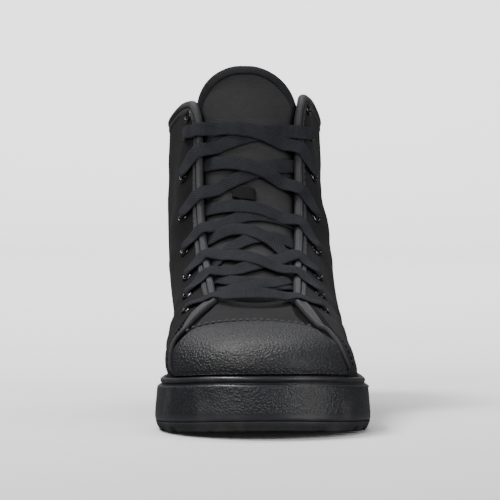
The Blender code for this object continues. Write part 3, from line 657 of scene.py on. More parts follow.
# The cup: its profile carried round the tread's edge, with pebbles pushed out of the wall in
# front, the groove shallower along the lateral side, and the bottom and the inside closed.
def makeCup():
    along, side = stationsRound(cup["stations"])
    shareScale = (1, 14, 1)  # the share counts as 14 mm, so that knots are spaced by length
    profile = smoothThrough(np.array(cup["profile"]) * shareScale, cup["knotsRound"]) / shareScale
    inset, share, rise = (column[None, :] for column in profile.T)
    groove = np.exp(-((rise + 4.9) / 0.65) ** 2) * (share > 0.9)
    shallow = 0.55 * smoothStep(0.07, 0.22, along)[:, None] * (side[:, None] > 0)
    inset = inset - cup["groove"] * groove * shallow
    points, out = insetEdge(along[:, None], side[:, None], inset)
    behind = points[..., 1]
    z = (treadHeight(behind) + last["tread"]) * (1 - share) + readTable(sideRows, "lip", behind, True) * share + rise
    front = 1 - 0.75 * smoothStep(0.2, 0.36, along)[:, None] * np.ones_like(rise)
    wall = smoothStep(0.02, 0.12, share) * np.where(share < 0.99, 1, 1 - smoothStep(-6.75, -6.15, rise))
    pebbled = wall * front
    flat = place(points[..., 0], behind, z)
    push = cup["pebble"] * (pebbleHeight(flat, cup["pebbleSize"]) - 0.6) * pebbled
    solid = flat + joined(out[..., 0], out[..., 1], 0.0) * push[..., None]
    # bead at the wall's top, the lip's rounded top and the bottom edge: glossier, and paler as a painted highlight
    edge = np.exp(-((rise + 5.8) / 0.3) ** 2) + np.exp(-((inset - 3.4) / 0.9) ** 2) * (rise > -2.2) * (share > 0.9)
    edge = edge + 0.6 * np.exp(-((rise - 1.3) / 0.5) ** 2) * (share < 0.01)
    bottom = place(points[:, :1, 0] * 0.86, behind[:, :1] * 0.86 + 21, z[:, :1])
    rings = np.concatenate([bottom, solid, bottom + (0, 0, 2.0)], axis=1)

    def widen(field):
        field = np.broadcast_to(field, z.shape)
        return np.concatenate([field[:, :1], field, field[:, -1:]], axis=1)

    makeMesh("cupSole", rings, gridFaces(*rings.shape[:2], True, True), cupRubber, "cup_rubber", ("cupsole",),
             joined(walkedLength(solid[:, 5])[:, None], widen(z)), pebbled=widen(pebbled),
             lined=widen(wall * (1 - front) * cup["lined"]), rubbed=widen(np.clip(edge, 0, 1)))


tread = {"stations": 300, "across": 34, "step": 14.0, "firstGrooves": ((34.0, 8), (214.0, 6)), "groove": 1.6,
         "chamfer": 0.9, "sipe": 0.7, "arch": (154.0, 196.0), "spine": (46.0, 264.0), "top": 4.9,
         # inset and height of the wall, from under the cup down to the floor
         "wall": ((0.7, 4.9), (0.35, 4.75), (0.4, 4.2), (0.7, 3.2), (1.2, 2.0), (1.9, 0.9), (2.6, 0.0))}


# Height of the underside: flat, with straight grooves across, a raised arch at the waist, and
# fine zigzag cuts in each lug.
def treadRelief(across, behind):
    cutAway = np.zeros(np.broadcast(across, behind).shape)
    wide = tread["groove"]
    for first, number in tread["firstGrooves"]:
        for middle in first + tread["step"] * np.arange(number):
            beyond = smoothStep(wide - 0.2, wide + tread["chamfer"], np.abs(behind - middle))
            cutAway = np.maximum(cutAway, last["lug"] * (1 - beyond))
    low, high = tread["arch"]
    arch = smoothStep(low - 0.6, low + 2.0, behind) * (1 - smoothStep(high - 2.0, high + 0.6, behind))
    cutAway = np.maximum(cutAway, last["lug"] * arch)
    zigzag = np.abs(((across / 9.0) % 1) - 0.5) * 4.0
    nearest = np.abs(((behind - 34.0) % tread["step"]) - 0.5 * tread["step"] + zigzag - 1.0)
    return cutAway + tread["sipe"] * (1 - smoothStep(0.2, 0.7, nearest)) * (cutAway < 0.05)


# Plan of a piece that fills the boot's outline: from an inset edge (share 0) in to a spine along
# the middle (share 1). The spine stops short of both ends.
def planFill(along, side, inset, spine, share):
    edge, _ = insetEdge(along, side, inset)
    middle = joined(0.0, np.clip(edge[:, 1], *spine))
    return edge[:, None] + (middle - edge)[:, None] * share[None, :, None], edge, middle


# The tread: top, wall and underside, ring after ring round the boot.
def makeTread():
    along, side = stationsRound(tread["stations"])
    share = np.linspace(0, 1, tread["across"]) ** 0.9
    under, edge, spine = planFill(along, side, 2.6, tread["spine"], share)
    parts, heights, rubs = [spine], [treadHeight(spine[:, 1]) + tread["top"]], [np.zeros(len(along))]
    for inset, rise in tread["wall"]:
        ring, _ = insetEdge(along, side, inset)
        relief = treadRelief(edge[:, 0], ring[:, 1])
        parts.append(ring)
        heights.append(treadHeight(ring[:, 1]) + np.maximum(rise, relief * (rise < 1.5)))
        rubs.append(np.full(len(along), float(0.0 < rise < 1.0)))
    below = under[:, 1:]
    relief = treadRelief(below[..., 0], below[..., 1])
    points = np.concatenate([np.stack(parts, axis=1), below], axis=1)
    z = np.concatenate([np.stack(heights, axis=1), treadHeight(below[..., 1]) + relief], axis=1)
    solid = place(points[..., 0], points[..., 1], z)
    makeMesh("treadSole", solid, gridFaces(*solid.shape[:2], True), treadRubber, "tread_rubber", ("outsole",),
             rubbed=np.concatenate([np.stack(rubs, axis=1), 0 * relief], axis=1))


footbed = {"stations": 160, "inset": 10.6, "spine": (50.0, 258.0), "thick": 3.3, "under": 0.4, "rim": 1.0, "edge": 0.9}


# The footbed: a flat pad on the cup's floor, dished up at its rim and rounded off at its edge.
def makeFootbed():
    share = np.concatenate([np.linspace(0, 0.12, 8), np.linspace(0.15, 1, 24)])
    flat, _, _ = planFill(*stationsRound(footbed["stations"]), footbed["inset"], footbed["spine"], share)
    floor = readTable(sideRows, "floor", flat[..., 1], True)
    rim = footbed["rim"] * np.exp(-(share / 0.16) ** 2) - footbed["edge"] * np.exp(-(share / 0.02) ** 2)
    top = place(flat[..., 0], flat[..., 1], floor + footbed["thick"] + rim)
    bottom = place(flat[..., 0], flat[..., 1], floor + footbed["under"])
    rings = np.concatenate([bottom[:, ::-1], top], axis=1)
    makeMesh("footbed", rings, gridFaces(*rings.shape[:2], True), footbedCloth, "insole_foam", ("insole",),
             rings[..., :2])


makeCup()
makeTread()
makeFootbed()
print("sole made")


upper = {"vamp": -0.5, "inside": -1.3, "panel": 0.55, "panelInside": -1.15, "onCap": 2.5, "cap": 2.9, "capInside": -0.9,
         "tuckDrop": 4.0, "stations": 150, "levels": 64, "vampReach": 6.0, "capReach": 0.268,
         "capBack": (57.5, 0.0065, 0.10), "capPebble": 0.09, "capPebbleSize": 1.6}

# where each quarter's front edge meets each level of the wall
frontRows = tableOf(
    "level edgeMedial edgeLateral",
    (-0.05, 0.232, 0.215), (0.00, 0.234, 0.212), (0.10, 0.240, 0.202), (0.30, 0.247, 0.196),
    (0.49, 0.255, 0.202), (0.69, 0.272, 0.222), (0.86, 0.287, 0.252), (1.00, 0.295, 0.288))


# A place on the wall, lifted off it. Below level 0 it runs straight down into the cup, and the
# lift dies away just above it.
def wallPoint(along, side, level, lift, hug=1.0):
    along, side, level = sameShape(along, side, level)
    base = skin(along, side, np.clip(level, 0, 1))
    lift = lift * (1 - hug * (1 - smoothStep(0.0, 0.05, level)))
    point = base + skinNormal(along, side, np.clip(level, 0.004, 0.996)) * np.asarray(lift)[..., None]
    drop = np.clip(-level, 0, 1) / 0.05 * upper["tuckDrop"]
    return point - drop[..., None] * (0, 0, 1)


# How far back the toe cap reaches at a place across the boot: an arc, a little askew.
def capBackLine(point):
    across = point[..., 0] - axisX
    middle, arc, skew = upper["capBack"]
    return middle - arc * across**2 - skew * across


# Distance of a point from the toe.
def behindToe(point):
    return point[..., 1] + last["length"] / 2


# 1 where the toe cap lies beneath, 0 behind it.
def capCover(point):
    return smoothStep(-8.0, 3.5, capBackLine(point) - behindToe(point))


# Millimetres of wall to a station at each place, and how far a place lies ahead of the quarter's
# front edge, along its own level.
def perStation(along, side, level):
    return np.linalg.norm(skin(along + 0.01, side, level) - skin(along, side, level), axis=-1) / 0.01


def aheadOfFront(along, side, level):
    level = np.clip(level, 0, 1)
    front = readSide(frontRows, "edge", level, side)
    return (front - along) * perStation(front, side, level)


# The narrow gap beside that edge: 1 in its middle, falling away within its width on both sides. It sinks the vamp and
# the toe cap there and darkens their colour: painted shade.
def frontGap(along, side, level):
    return np.exp(-((aheadOfFront(along, side, level) - 2.4) / 2.8) ** 4) * smoothStep(0.24, 0.45, level)


# The vamp and the body of the wall: one closed shell, outside and inside. It is sunk beside the quarters' front edges,
# and its back edge reaches on under the lowest lace, into its shadow. Beside those edges and under that lace its colour
# is darkened: painted shade.
def makeVampShell():
    along, side = stationsRound(upper["stations"], 0.25)
    alongs, sides = along[:, None], side[:, None]
    level = np.concatenate([[-0.05, -0.02], np.linspace(0, 1, upper["levels"])])
    outer = wallPoint(alongs, sides, level, upper["vamp"], 0.4)
    gap = frontGap(alongs, sides, level)
    relief = 0.7 * creaseDepth(outer) - 1.8 * gap
    climb = unit((skin(along, side, 1.0) - skin(along, side, 0.97)) * (0.3, 1, 1))[:, None]
    reach = upper["vampReach"] * smoothStep(0.86, 1.0, level) * (1 - smoothStep(0.262, 0.288, alongs))
    moved = relief[..., None] * skinNormal(alongs, sides, np.clip(level, 0.01, 0.99)) + climb * reach[..., None]
    outer = outer + moved
    inner = wallPoint(alongs, sides, level, upper["inside"], 0.0) + moved
    rim = 0.5 * (outer[:, -1:] + inner[:, -1:]) + 0.35 * unit(outer[:, -1:] - outer[:, -2:-1])
    rings = np.concatenate([outer, rim, inner[:, ::-1]], axis=1)
    # painted shadow under the lowest lace, over the vamp's back edge
    gap = np.maximum(gap, 0.93 * smoothStep(-54.0, -50.0, outer[..., 1]) * (1 - smoothStep(0.28, 0.295, alongs)))
    makeMesh("vampShell", rings, gridFaces(*rings.shape[:2], True, True), vampCloth, "upper_nubuck", ("upper",),
             joined(rings[..., 0], rings[..., 1] * 1.05), gap=np.concatenate([gap, gap[:, -1:], 0 * gap], axis=1))


# The quarter's outer face: over the wall, and over the toe cap where that lies beneath, with
# the creases. Rounded (0 to 1) draws it down to its inner face, at an edge.
def quarterFace(along, side, level, rounded=1.0, above=0.0):
    bare = skin(along, side, np.clip(level, 0, 1))
    lift = upper["panel"] + upper["onCap"] * capCover(bare) + above
    normal = skinNormal(along, side, np.clip(level, 0.01, 0.99))
    crease = creaseDepth(bare) + 0.22 * stretchWave(bare, 17.0)
    return wallPoint(along, side, level, (lift + 1.1) * rounded - 1.1, 0.75) + normal * crease[..., None]


# A quarter: a slab from its front edge back to the heel seam, both edges rounded over.
def makeQuarter(name, side, material):
    share = np.concatenate([np.linspace(0, 0.02, 9)[:-1], np.linspace(0.02, 0.985, 170), np.linspace(0.985, 1, 8)[1:]])
    level = np.concatenate([[-0.05, -0.02], np.linspace(0, 1, 84)])[None, :]
    front = readSide(frontRows, "edge", level, side)
    along = front + share[:, None] * (1 - front)
    bare = skin(along, side, np.clip(level, 0, 1))
    walked = walkedLength(bare)
    outer = quarterFace(along, side, level, quarterRound(walked, 1.0) * quarterRound(walked[-1:] - walked, 1.1))
    crease = 0.7 * creaseDepth(bare)[..., None] * skinNormal(along, side, np.clip(level, 0.01, 0.99))
    inner = wallPoint(along, side, level, upper["panelInside"], 0.0) + crease
    makeMesh(name, *slabOf(outer, inner), material, "upper_nubuck", ("upper",))


# The toe cap: a slab over the toe, from the lip back to its arc, pebbled and crowned. It thins towards its back edge
# and under the quarters, and beside their front edges its colour is darkened as painted shade. Gives its back edge,
# with normals and places.
def makeToeCap():
    turn = np.linspace(-1, 1, 250)[:, None]
    side = np.where(turn < 0, -1.0, 1.0)
    along = np.abs(turn) * upper["capReach"]
    fine = np.linspace(0, 1, 120)
    bare = skin(along, side, fine)
    over = behindToe(bare) - capBackLine(bare)
    topLevel = np.maximum([[np.interp(0, row, fine)] for row in over], 0.06)
    level = np.concatenate([np.linspace(0, 0.94, 104)[:-1], np.linspace(0.94, 1, 14)]) * topLevel
    points = skin(along, side, level)
    normal = skinNormal(along, side, np.maximum(level, 0.004))
    walked = walkedLength(points.swapaxes(0, 1)).T
    toBack = walked[:, -1:] - walked
    foot = 1 - 0.12 * (1 - smoothStep(0, 3.0, walked))
    thin = 0.45 + 0.55 * smoothStep(0, 14, toBack)
    thin = thin * (0.3 + 0.7 * smoothStep(-2.0, 1.0, aheadOfFront(along, side, level)))
    pebble = upper["capPebble"] * (pebbleHeight(points, upper["capPebbleSize"], 8.0) - 0.6)
    gap = frontGap(along, side, level)
    crown = upper["cap"] * foot * thin + pebble + 0.25 * stretchWave(points, 26.0)
    lift = crown * quarterRound(toBack, 1.3) - 0.8 - 1.6 * gap
    makeMesh("toeCap", *slabOf(points + normal * lift[..., None], points + normal * upper["capInside"]), pebbledLeather,
             "toe_pebble", ("toe_cap",), gap=np.concatenate([gap, 0 * gap]))
    return points[:, -1], normal[:, -1], (along[:, 0], side[:, 0], topLevel[:, 0])


lining = {"stations": 130, "levels": 60, "pad": 3.2, "quilt": 44, "thick": 0.9}


# Lining: padded towards the collar, with soft quilted rings, open at the top and underneath.
def makeLining():
    along, side = (values[:, None] for values in stationsRound(lining["stations"]))
    level = np.concatenate([[-0.05], np.linspace(0, 1, lining["levels"])])
    pad = lining["pad"] * smoothStep(0.5, 0.78, level) * smoothStep(0.6, 0.74, along)
    pad = pad * (1 - 0.25 * np.cos(level * lining["quilt"]) ** 8)
    pad = pad * np.sqrt(np.clip(1 - ((level - 0.8) / 0.34) ** 2, 0.12, 1))
    outer = wallPoint(along, side, level, upper["inside"], 0.0)
    inner = wallPoint(along, side, level, upper["inside"] - lining["thick"] - pad, 0.0)
    rings = np.concatenate([outer, inner[:, ::-1]], axis=1)
    up = np.concatenate([level, level[::-1]]) * 115
    makeMesh("collarLining", rings, gridFaces(*rings.shape[:2], True, True), liningCloth, "upper_nubuck", ("upper",),
             joined(walkedLength(inner[:, 30])[:, None], up))


makeVampShell()
makeQuarter("quarterMedial", -1, nubuckMedial)
makeQuarter("quarterLateral", 1, nubuckLateral)
capEdge, capEdgeNormal, capEdgePlace = makeToeCap()
makeLining()
print("upper made")


# Faces of a closed ring carried along a path, each end closed by a ladder of quads.
def sweepFaces(rows, columns):
    ring = np.arange(columns // 2 - 1)
    ladder = np.stack([ring, ring + 1, columns - 2 - ring, columns - 1 - ring], axis=1)
    return np.concatenate([gridFaces(rows, columns, False, True), ladder[:, ::-1], ladder + (rows - 1) * columns])


# A profile (across, up) carried along a path: each point of it goes its own distance sideways and
# up from the path. Wide and tall scale it from place to place.
def sweep(points, sideways, ups, profile, wide=1.0, tall=1.0):
    wide, tall = (np.broadcast_to(value, len(points))[:, None, None] for value in (wide, tall))
    return points[:, None] + sideways[:, None] * profile[:, :1] * wide + ups[:, None] * profile[:, 1:] * tall


# Points of a path at even steps, with what goes with them and their distances along it.
def evenSteps(points, step, *others):
    walked = walkedLength(points)
    at = np.linspace(0, walked[-1], max(int(walked[-1] / step), 3))
    read = [np.stack([np.interp(at, walked, column) for column in values.T], axis=1) for values in (points, *others)]
    return (*read, at)


# What is left of some vectors square to others.
def squareTo(vectors, others):
    return unit(vectors - others * (vectors * others).sum(-1, keepdims=True))


# Vectors turned over where they point away from others.
def facingLike(vectors, others):
    return vectors * np.sign((vectors * others).sum(-1, keepdims=True))


# A smooth closed profile through its corners.
def roundedProfile(corners, count):
    corners = np.asarray(corners, float)
    return smoothThrough(np.concatenate([corners, corners[:1]]), count + 1)[:-1]


# Ends rounded off: a quarter round of the distance to either end.
def endRound(at, reach):
    return np.sqrt(np.clip(quarterRound(at, reach) * quarterRound(at[-1] - at, reach), 0.04, 1))


binding = {"edge": ((6.6, -0.2), (6.5, 0.6), (5.9, 1.0), (5.0, 1.1), (4.1, 1.05), (3.6, 0.85), (3.3, 0.3), (3.0, 0.9),
                    (2.6, 1.45), (1.8, 1.7), (0.7, 1.5), (-0.4, 0.9), (-1.0, -0.2), (-1.1, -1.2), (-0.9, -2.2),
                    (-0.1, -3.0), (1.0, -3.3), (2.6, -3.3), (3.6, -3.0), (3.8, -2.2), (3.4, -1.4), (4.5, -0.8)),
           "front": ((-0.4, -1.6), (-0.95, -0.4), (-1.0, 0.9), (-0.5, 1.9), (0.35, 2.25), (1.1, 1.9), (1.9, 1.35),
                     (3.2, 1.15), (4.6, 1.0), (5.2, 0.6), (5.2, 0.0), (3.0, -0.8), (1.0, -1.4)),
           "edgePoints": 44, "frontPoints": 24, "collarFrom": 205.0, "collarDark": 0.62, "fold": 3.3, "foldDark": 0.9,
           "outerDark": 0.25}


# The upper's free edge, from the medial end of the throat round the collar to the lateral one:
# points, outward normals and the way down the wall.
def edgePath():
    along = np.linspace(0.298, 1, 400)
    halves = []
    for side, order in ((-1.0, slice(None)), (1.0, slice(-2, None, -1))):
        points = skin(along, side, 1.0)
        down = unit(skin(along, side, 0.97) - points)
        halves.append([values[order] for values in (points, skinNormal(along, side, 0.985), down)])
    return (np.concatenate(values) for values in zip(*halves))


# Tape folded over that edge, in two bands. The collar's stretch is darker than the throat's, and
# the fold between the bands darker still.
def makeEdgeBinding():
    points, normals, downs = edgePath()
    points, normals, downs, at = evenSteps(points, 0.9, normals, downs)
    normals = unit(normals)
    downs = squareTo(downs, normals)
    profile = roundedProfile(binding["edge"], binding["edgePoints"])
    rounds = endRound(at, 1.5)[:, None, None]
    heart = (points + downs * 1.5 - normals * 0.8)[:, None]
    rings = heart + (sweep(points, downs, normals, profile) - heart) * rounds
    start = binding["collarFrom"]
    collar = binding["collarDark"] * smoothStep(start - 3, start + 3, behindToe(points))[:, None]
    fold = np.exp(-((profile[:, 0] - binding["fold"]) / 0.35) ** 2) * (profile[:, 1] > -0.5)
    outside = binding["outerDark"] * smoothStep(binding["fold"], binding["fold"] + 0.5, profile[:, 0])
    dark = np.maximum(collar, np.maximum(binding["foldDark"] * fold, outside))
    makeMesh("edgeBinding", rings, sweepFaces(*rings.shape[:2]), bindingTape, "upper_nubuck", ("upper",),
             joined(at[:, None], 0.45 * np.arange(len(profile))), gap=dark)


# Tape along a quarter's front edge, from the sole up to the throat, where it is widest.
def makeFrontBinding(name, side):
    level = np.linspace(-0.01, 1.0, 200)
    along = readSide(frontRows, "edge", level, side)
    height = np.clip(level, 0, 1)
    points = skin(along, side, height)
    normals = skinNormal(along, side, np.clip(level, 0.01, 0.99))
    back = unit(skin(along + 0.01, side, height) - points)
    points = points + normals * (upper["onCap"] * capCover(points) * smoothStep(-0.01, 0.06, level))[:, None]
    points, normals, back, share, at = evenSteps(points, 0.8, normals, back, level[:, None])
    run = unit(np.gradient(points, axis=0))
    back = squareTo(back, run)
    normals = unit(facingLike(np.cross(run, back), normals))
    taper = 0.28 + 0.72 * smoothStep(0.3, 0.85, share[:, 0])
    ends = endRound(at, 1.6)
    profile = roundedProfile(binding["front"], binding["frontPoints"])
    rings = sweep(points, back, normals, profile, taper * ends, (0.45 + 0.55 * taper) * ends)
    makeMesh(name, rings, sweepFaces(*rings.shape[:2]), bindingTape, "upper_nubuck", ("upper",),
             joined(at[:, None], 0.6 * np.arange(len(profile))))


makeEdgeBinding()
makeFrontBinding("frontBindingMedial", -1.0)
makeFrontBinding("frontBindingLateral", 1.0)
print("bindings made")


tongue = {"topZ": 189.7, "lean": -2.5, "sink": 2.9, "across": 61, "throatTop": 0.8, "round": 2.65, "shadow": 8.5,
          "tape": ((4.0, 1.5), (3.9, 2.15), (2.6, 2.2), (1.0, 1.9), (-0.4, 1.1), (-0.9, 0.0), (-0.4, -1.2),
                   (1.0, -2.1), (2.6, -2.9), (3.9, -3.1), (4.0, -2.4), (2.4, -1.0), (2.4, 0.4)),
          "tapePoints": 22, "tapeSink": 1.4}

keeper = {"row": 0.560, "halfRow": 0.021, "half": 6.2, "off": -3.5, "arch": 2.0, "thick": 0.6}


# Middle of the throat between its two edges, and their mean outward normal there.
def throatAt(along):
    edges = [skin(along, side, 1.0) for side in (-1, 1)]
    lean = skinNormal(along, -1, 1.0) + skinNormal(along, 1, 1.0)
    lean[..., 0] = 0
    return 0.5 * (edges[0] + edges[1]), unit(lean)


# Outer face of the tongue: row runs from its root (0) past the top of the throat (throatTop) to
# its free end (1), across from edge to edge. It crowns across, and its end is a round.
def tongueFace(row, across, sink=0.0):
    row, across, sink = sameShape(row, across, sink)
    low = np.minimum(row, tongue["throatTop"])
    middle, lean = throatAt(readTable(tongueRows, "along", low))
    rise = np.clip((row - tongue["throatTop"]) / (1 - tongue["throatTop"]), 0, 1)
    throatTop, _ = throatAt(readTable(tongueRows, "along", tongue["throatTop"]))
    middle = middle + ((tongue["topZ"] - throatTop[2]) * rise)[..., None] * (0, -0.02, 1.0)
    half = readTable(tongueRows, "half", low) * np.sqrt(1 - 0.97 * rise ** tongue["round"])
    crown = readTable(tongueRows, "crown", low) * (1 - 0.25 * rise)
    x = across * half
    bow = crown * (1 - (x / 27.0) ** 2)
    point = middle + lean * (bow - last["wall"] - tongue["sink"] - sink)[..., None]
    point[..., 0] = axisX + x + tongue["lean"] * rise
    return point


# The tongue: a pad, thickest along its middle and rounded into its edges. Its colour is darkened at its root and beside
# the throat's edges: painted shadow.
def makeTongue():
    throatTop = tongue["throatTop"]
    free = throatTop + (1 - throatTop) * np.sin(np.linspace(0, 0.5 * np.pi, 32)[1:])
    row = np.concatenate([np.linspace(0, throatTop, 100), free])
    across = np.sin(np.linspace(-0.5, 0.5, tongue["across"]) * np.pi)
    r, a = np.meshgrid(row, across, indexing="ij")
    low = np.minimum(r, throatTop)
    thick = readTable(tongueRows, "thick", low) * (1 - 0.5 * np.abs(a) ** 3)
    roundOver = np.sqrt((1 - np.abs(a) ** 7) * quarterRound(1 - r, 0.03))
    face = tongueFace(r, a)
    wave = 0.3 * stretchWave(face, 15.0) + 0.55 * creaseDepth(face)
    drawnIn = 0.5 * thick * (1 - roundOver)
    outer = tongueFace(r, a, np.maximum(drawnIn - wave * roundOver, -0.25))
    inner = tongueFace(r, a, thick - drawnIn)
    uv = joined(a * readTable(tongueRows, "half", low), walkedLength(face[:, 30])[:, None])
    inside = np.linalg.norm(tongueFace(r, np.where(a < 0, -1.0, 1.0)) - face, axis=-1)
    dark = 0.85 * np.exp(-(inside / tongue["shadow"]) ** 2) * (1 - smoothStep(0.62, throatTop, r))
    dark = np.maximum(dark, 0.9 * (1 - smoothStep(0.1, 0.2, r)))
    piece = makeMesh("tonguePad", *slabOf(outer, inner), tongueCloth, "tongue_weave", ("tongue",),
                     np.concatenate([uv, uv]), gap=np.concatenate([dark, dark]))


# Tape folded over the tongue's free edge, from the top of the throat round its end. The path is
# smoothed by a running mean, so that the tape turns softly.
def makeTongueTape():
    sink = tongue["tapeSink"]
    rise = 0.66 + 0.34 * np.sin(np.linspace(0, 0.5 * np.pi, 140))
    points, at = evenSteps(np.concatenate([
        tongueFace(rise, -1.0, sink), tongueFace(1.0, np.linspace(-1, 1, 30)[1:-1], sink),
        tongueFace(rise[::-1], 1.0, sink)]), 0.4)
    kernel = np.hanning(23) / np.hanning(23).sum()
    lengthened = np.concatenate([np.repeat(points[:1], 11, 0), points, np.repeat(points[-1:], 11, 0)])
    points = np.stack([np.convolve(column, kernel, "valid") for column in lengthened.T], axis=1)
    _, lean = throatAt(np.array(0.645))
    run = unit(np.gradient(points, axis=0))
    inward = facingLike(unit(np.cross(lean, run)), tongueFace(0.86, 0.0, sink) - points)
    ups = facingLike(unit(np.cross(run, inward)), lean)
    profile = roundedProfile(tongue["tape"], tongue["tapePoints"])
    rings = sweep(points, inward, ups, profile, endRound(at, 1.5), endRound(at, 1.5))
    makeMesh("tongueTape", rings, sweepFaces(*rings.shape[:2]), tongueTape, "tongue_weave", ("tongue",),
             joined(at[:, None], 0.6 * np.arange(len(profile))))


# Webbing keeper on the tongue: a dark strap standing proud between its pressed-down ends,
# drawn in towards the medial one.
def makeKeeper():
    share, across = np.linspace(-1, 1, 50)[:, None], np.linspace(-1, 1, 41)
    slim = 1 - 0.45 * smoothStep(-0.1, -1.0, across)
    row = keeper["row"] + keeper["halfRow"] * share * slim - 0.004 * across
    a = (keeper["off"] + across * keeper["half"]) / readTable(tongueRows, "half", row)
    arch = 0.2 + keeper["arch"] * np.sqrt(1 - np.abs(across) ** 3) + 0.25 * share
    flat = keeper["thick"] * np.sqrt(1 - np.abs(share) ** 8)
    uv = joined(across * keeper["half"], share * 4.5)
    makeMesh("laceKeeper", *slabOf(tongueFace(row, a, -(arch + flat)), tongueFace(row, a, -(arch - flat))), keeperTape,
             "keeper_webbing", ("lace_keeper",), np.concatenate([uv, uv]))


makeTongue()
makeTongueTape()
makeKeeper()
print("tongue made")


eyelet = {"pairs": 8, "bore": 1.95, "flange": 3.8, "hole": 2.7, "top": 1.55, "well": 0.72, "under": -1.2,
          "sides": 32, "profilePoints": 34}
lace = {"width": 7.5, "thick": 1.4, "clear": 0.35, "bunched": (3.3, 2.7), "steps": 150, "around": 22}

# each run of the lace: its crossing (0 is the bar), the side that it starts from, where it
# crosses the throat, how high it rides, how it tips, and whether its ends lie over the wall
laceRuns = tableOf(
    "crossing side near middle far lift tilt overStart overEnd",
    (0, -1, 0.02, -0.1, -0.1, 0.0, 32, 1, 1),
    (1, 1, 1.03, 0.96, 1.28, 0.0, 22, 0, 0),
    (1, -1, 0.86, 0.80, 1.25, 1.3, 22, 0, 0),
    (2, -1, 0.56, 0.62, 1.32, 0.0, 24, 1, 1),
    (2, 1, 0.56, 0.82, 1.38, 1.5, 24, 1, 1),
    (3, -1, 0.08, 0.73, 0.89, 0.0, 16, 0, 0),
    (3, 1, 0.19, 0.93, 1.03, 1.5, 16, 0, 0),
    (4, -1, 0.31, 0.55, 0.58, 0.0, 10, 1, 0),
    (4, 1, 0.56, 0.79, 0.99, 1.5, 10, 1, 0),
    (5, -1, 0.38, 0.84, 1.14, 0.0, 5, 1, 0),
    (5, 1, 0.52, 1.02, 1.17, 1.5, 5, 1, 0),
    (6, -1, 0.49, 0.83, 0.97, 0.0, 0, 1, 1),
    (6, 1, 0.57, 0.95, 1.01, 1.5, 0, 1, 1))


# Station on the throat's edge beside an eyelet, and its distance out from the edge.
def eyeletStation(number):
    walk = np.linspace(0.29, 0.68, 400)
    along = np.interp(readTable(eyeletRows, "walked", number), walkedLength(skin(walk, 1, 1.0)), walk)
    return float(along), float(readTable(eyeletRows, "inset", number))


# Station and level of the place that lies square out from the throat's edge: the nearest point
# of a grid, four times over with ever finer grids.
def outFromEdge(along, side, distance):
    here = skin(along, side, 1.0)
    edgeRun = skin(along + 0.004, side, 1.0) - skin(along - 0.004, side, 1.0)
    away = np.cross(edgeRun, skinNormal(along, side, 0.985)) * side
    target = here + unit(away) * distance
    reach, level = 0.14, 0.85
    for _ in range(4):
        alongs, levels = np.meshgrid(np.linspace(along - reach, along + reach, 29),
                                     np.linspace(level - reach, min(level + reach, 1.0), 29))
        best = np.linalg.norm(skin(alongs, side, levels) - target, axis=-1).argmin()
        along, level = alongs.ravel()[best], levels.ravel()[best]
        reach *= 0.25
    return along, level


# Centre of an eyelet, the wall's normal and the direction towards the throat's edge.
def eyeletPlace(number, side):
    station, inset = eyeletStation(number)
    centre, normal = onWall(station, side, inset, 0.0)
    nearer, _ = onWall(station, side, max(inset - 4.0, 0.5), 0.0)
    return centre, normal, squareTo(nearer - centre, normal)


# Point and normal at a height over the wall, square out from the throat's edge at a station.
def onWall(station, side, distance, height):
    along, level = outFromEdge(station, side, distance)
    normal = skinNormal(along, side, level)
    return skin(along, side, level) + normal * height, normal


# Eyelets: a rolled ring turned round the wall's normal, worn on top. A dark floor of the ring's metal closes its bore,
# standing for the shade inside the hole.
def makeEyelets():
    bore, flange, hole, top, well, under = (eyelet[key] for key in ("bore", "flange", "hole", "top", "well", "under"))
    profile = smoothThrough(
        [(0.05, well, 0), (bore - 0.5, well, 0), (bore, well + 0.08, 0), (bore, 1.1, 0), (bore + 0.15, top - 0.12, 0),
         (bore + 0.6, top, 0), (flange - 0.9, top - 0.1, 0), (flange - 0.2, top - 0.5, 0), (flange, top - 0.95, 0),
         (flange - 0.2, 0.35, 0), (hole, 0.3, 0), (hole - 0.1, under, 0), (0.05, under, 0)], eyelet["profilePoints"])
    turn = np.arange(eyelet["sides"])[:, None, None] * 2 * np.pi / eyelet["sides"]
    rings = []
    for number in range(1, eyelet["pairs"] + 1):
        for side in (-1.0, 1.0):
            centre, normal, toEdge = eyeletPlace(number, side)
            spoke = np.cos(turn) * toEdge + np.sin(turn) * np.cross(normal, toEdge)
            rings.append(centre + spoke * profile[:, :1] + normal * profile[:, 1:2])
    rings = np.array(rings)
    one = gridFaces(*rings.shape[1:3], True, True)
    faces = one + (np.arange(len(rings)) * rings[0, ..., 0].size)[:, None, None]
    worn = np.broadcast_to(smoothStep(top - 0.5, top - 0.05, profile[:, 1]), rings.shape[:3])
    names = [f"eyelet_{word}_{number + 1}" for word in ("medial", "lateral") for number in range(eyelet["pairs"])]
    makeMesh("eyeletRings", rings, faces.reshape(-1, 4), eyeletMetal, "eyelet_metal", names, rubbed=worn)


# Row of the tongue beside a station of the throat's edge.
def rowOf(along):
    rows = np.linspace(0, 0.8, 300)
    return float(np.interp(along, readTable(tongueRows, "along", rows), rows))


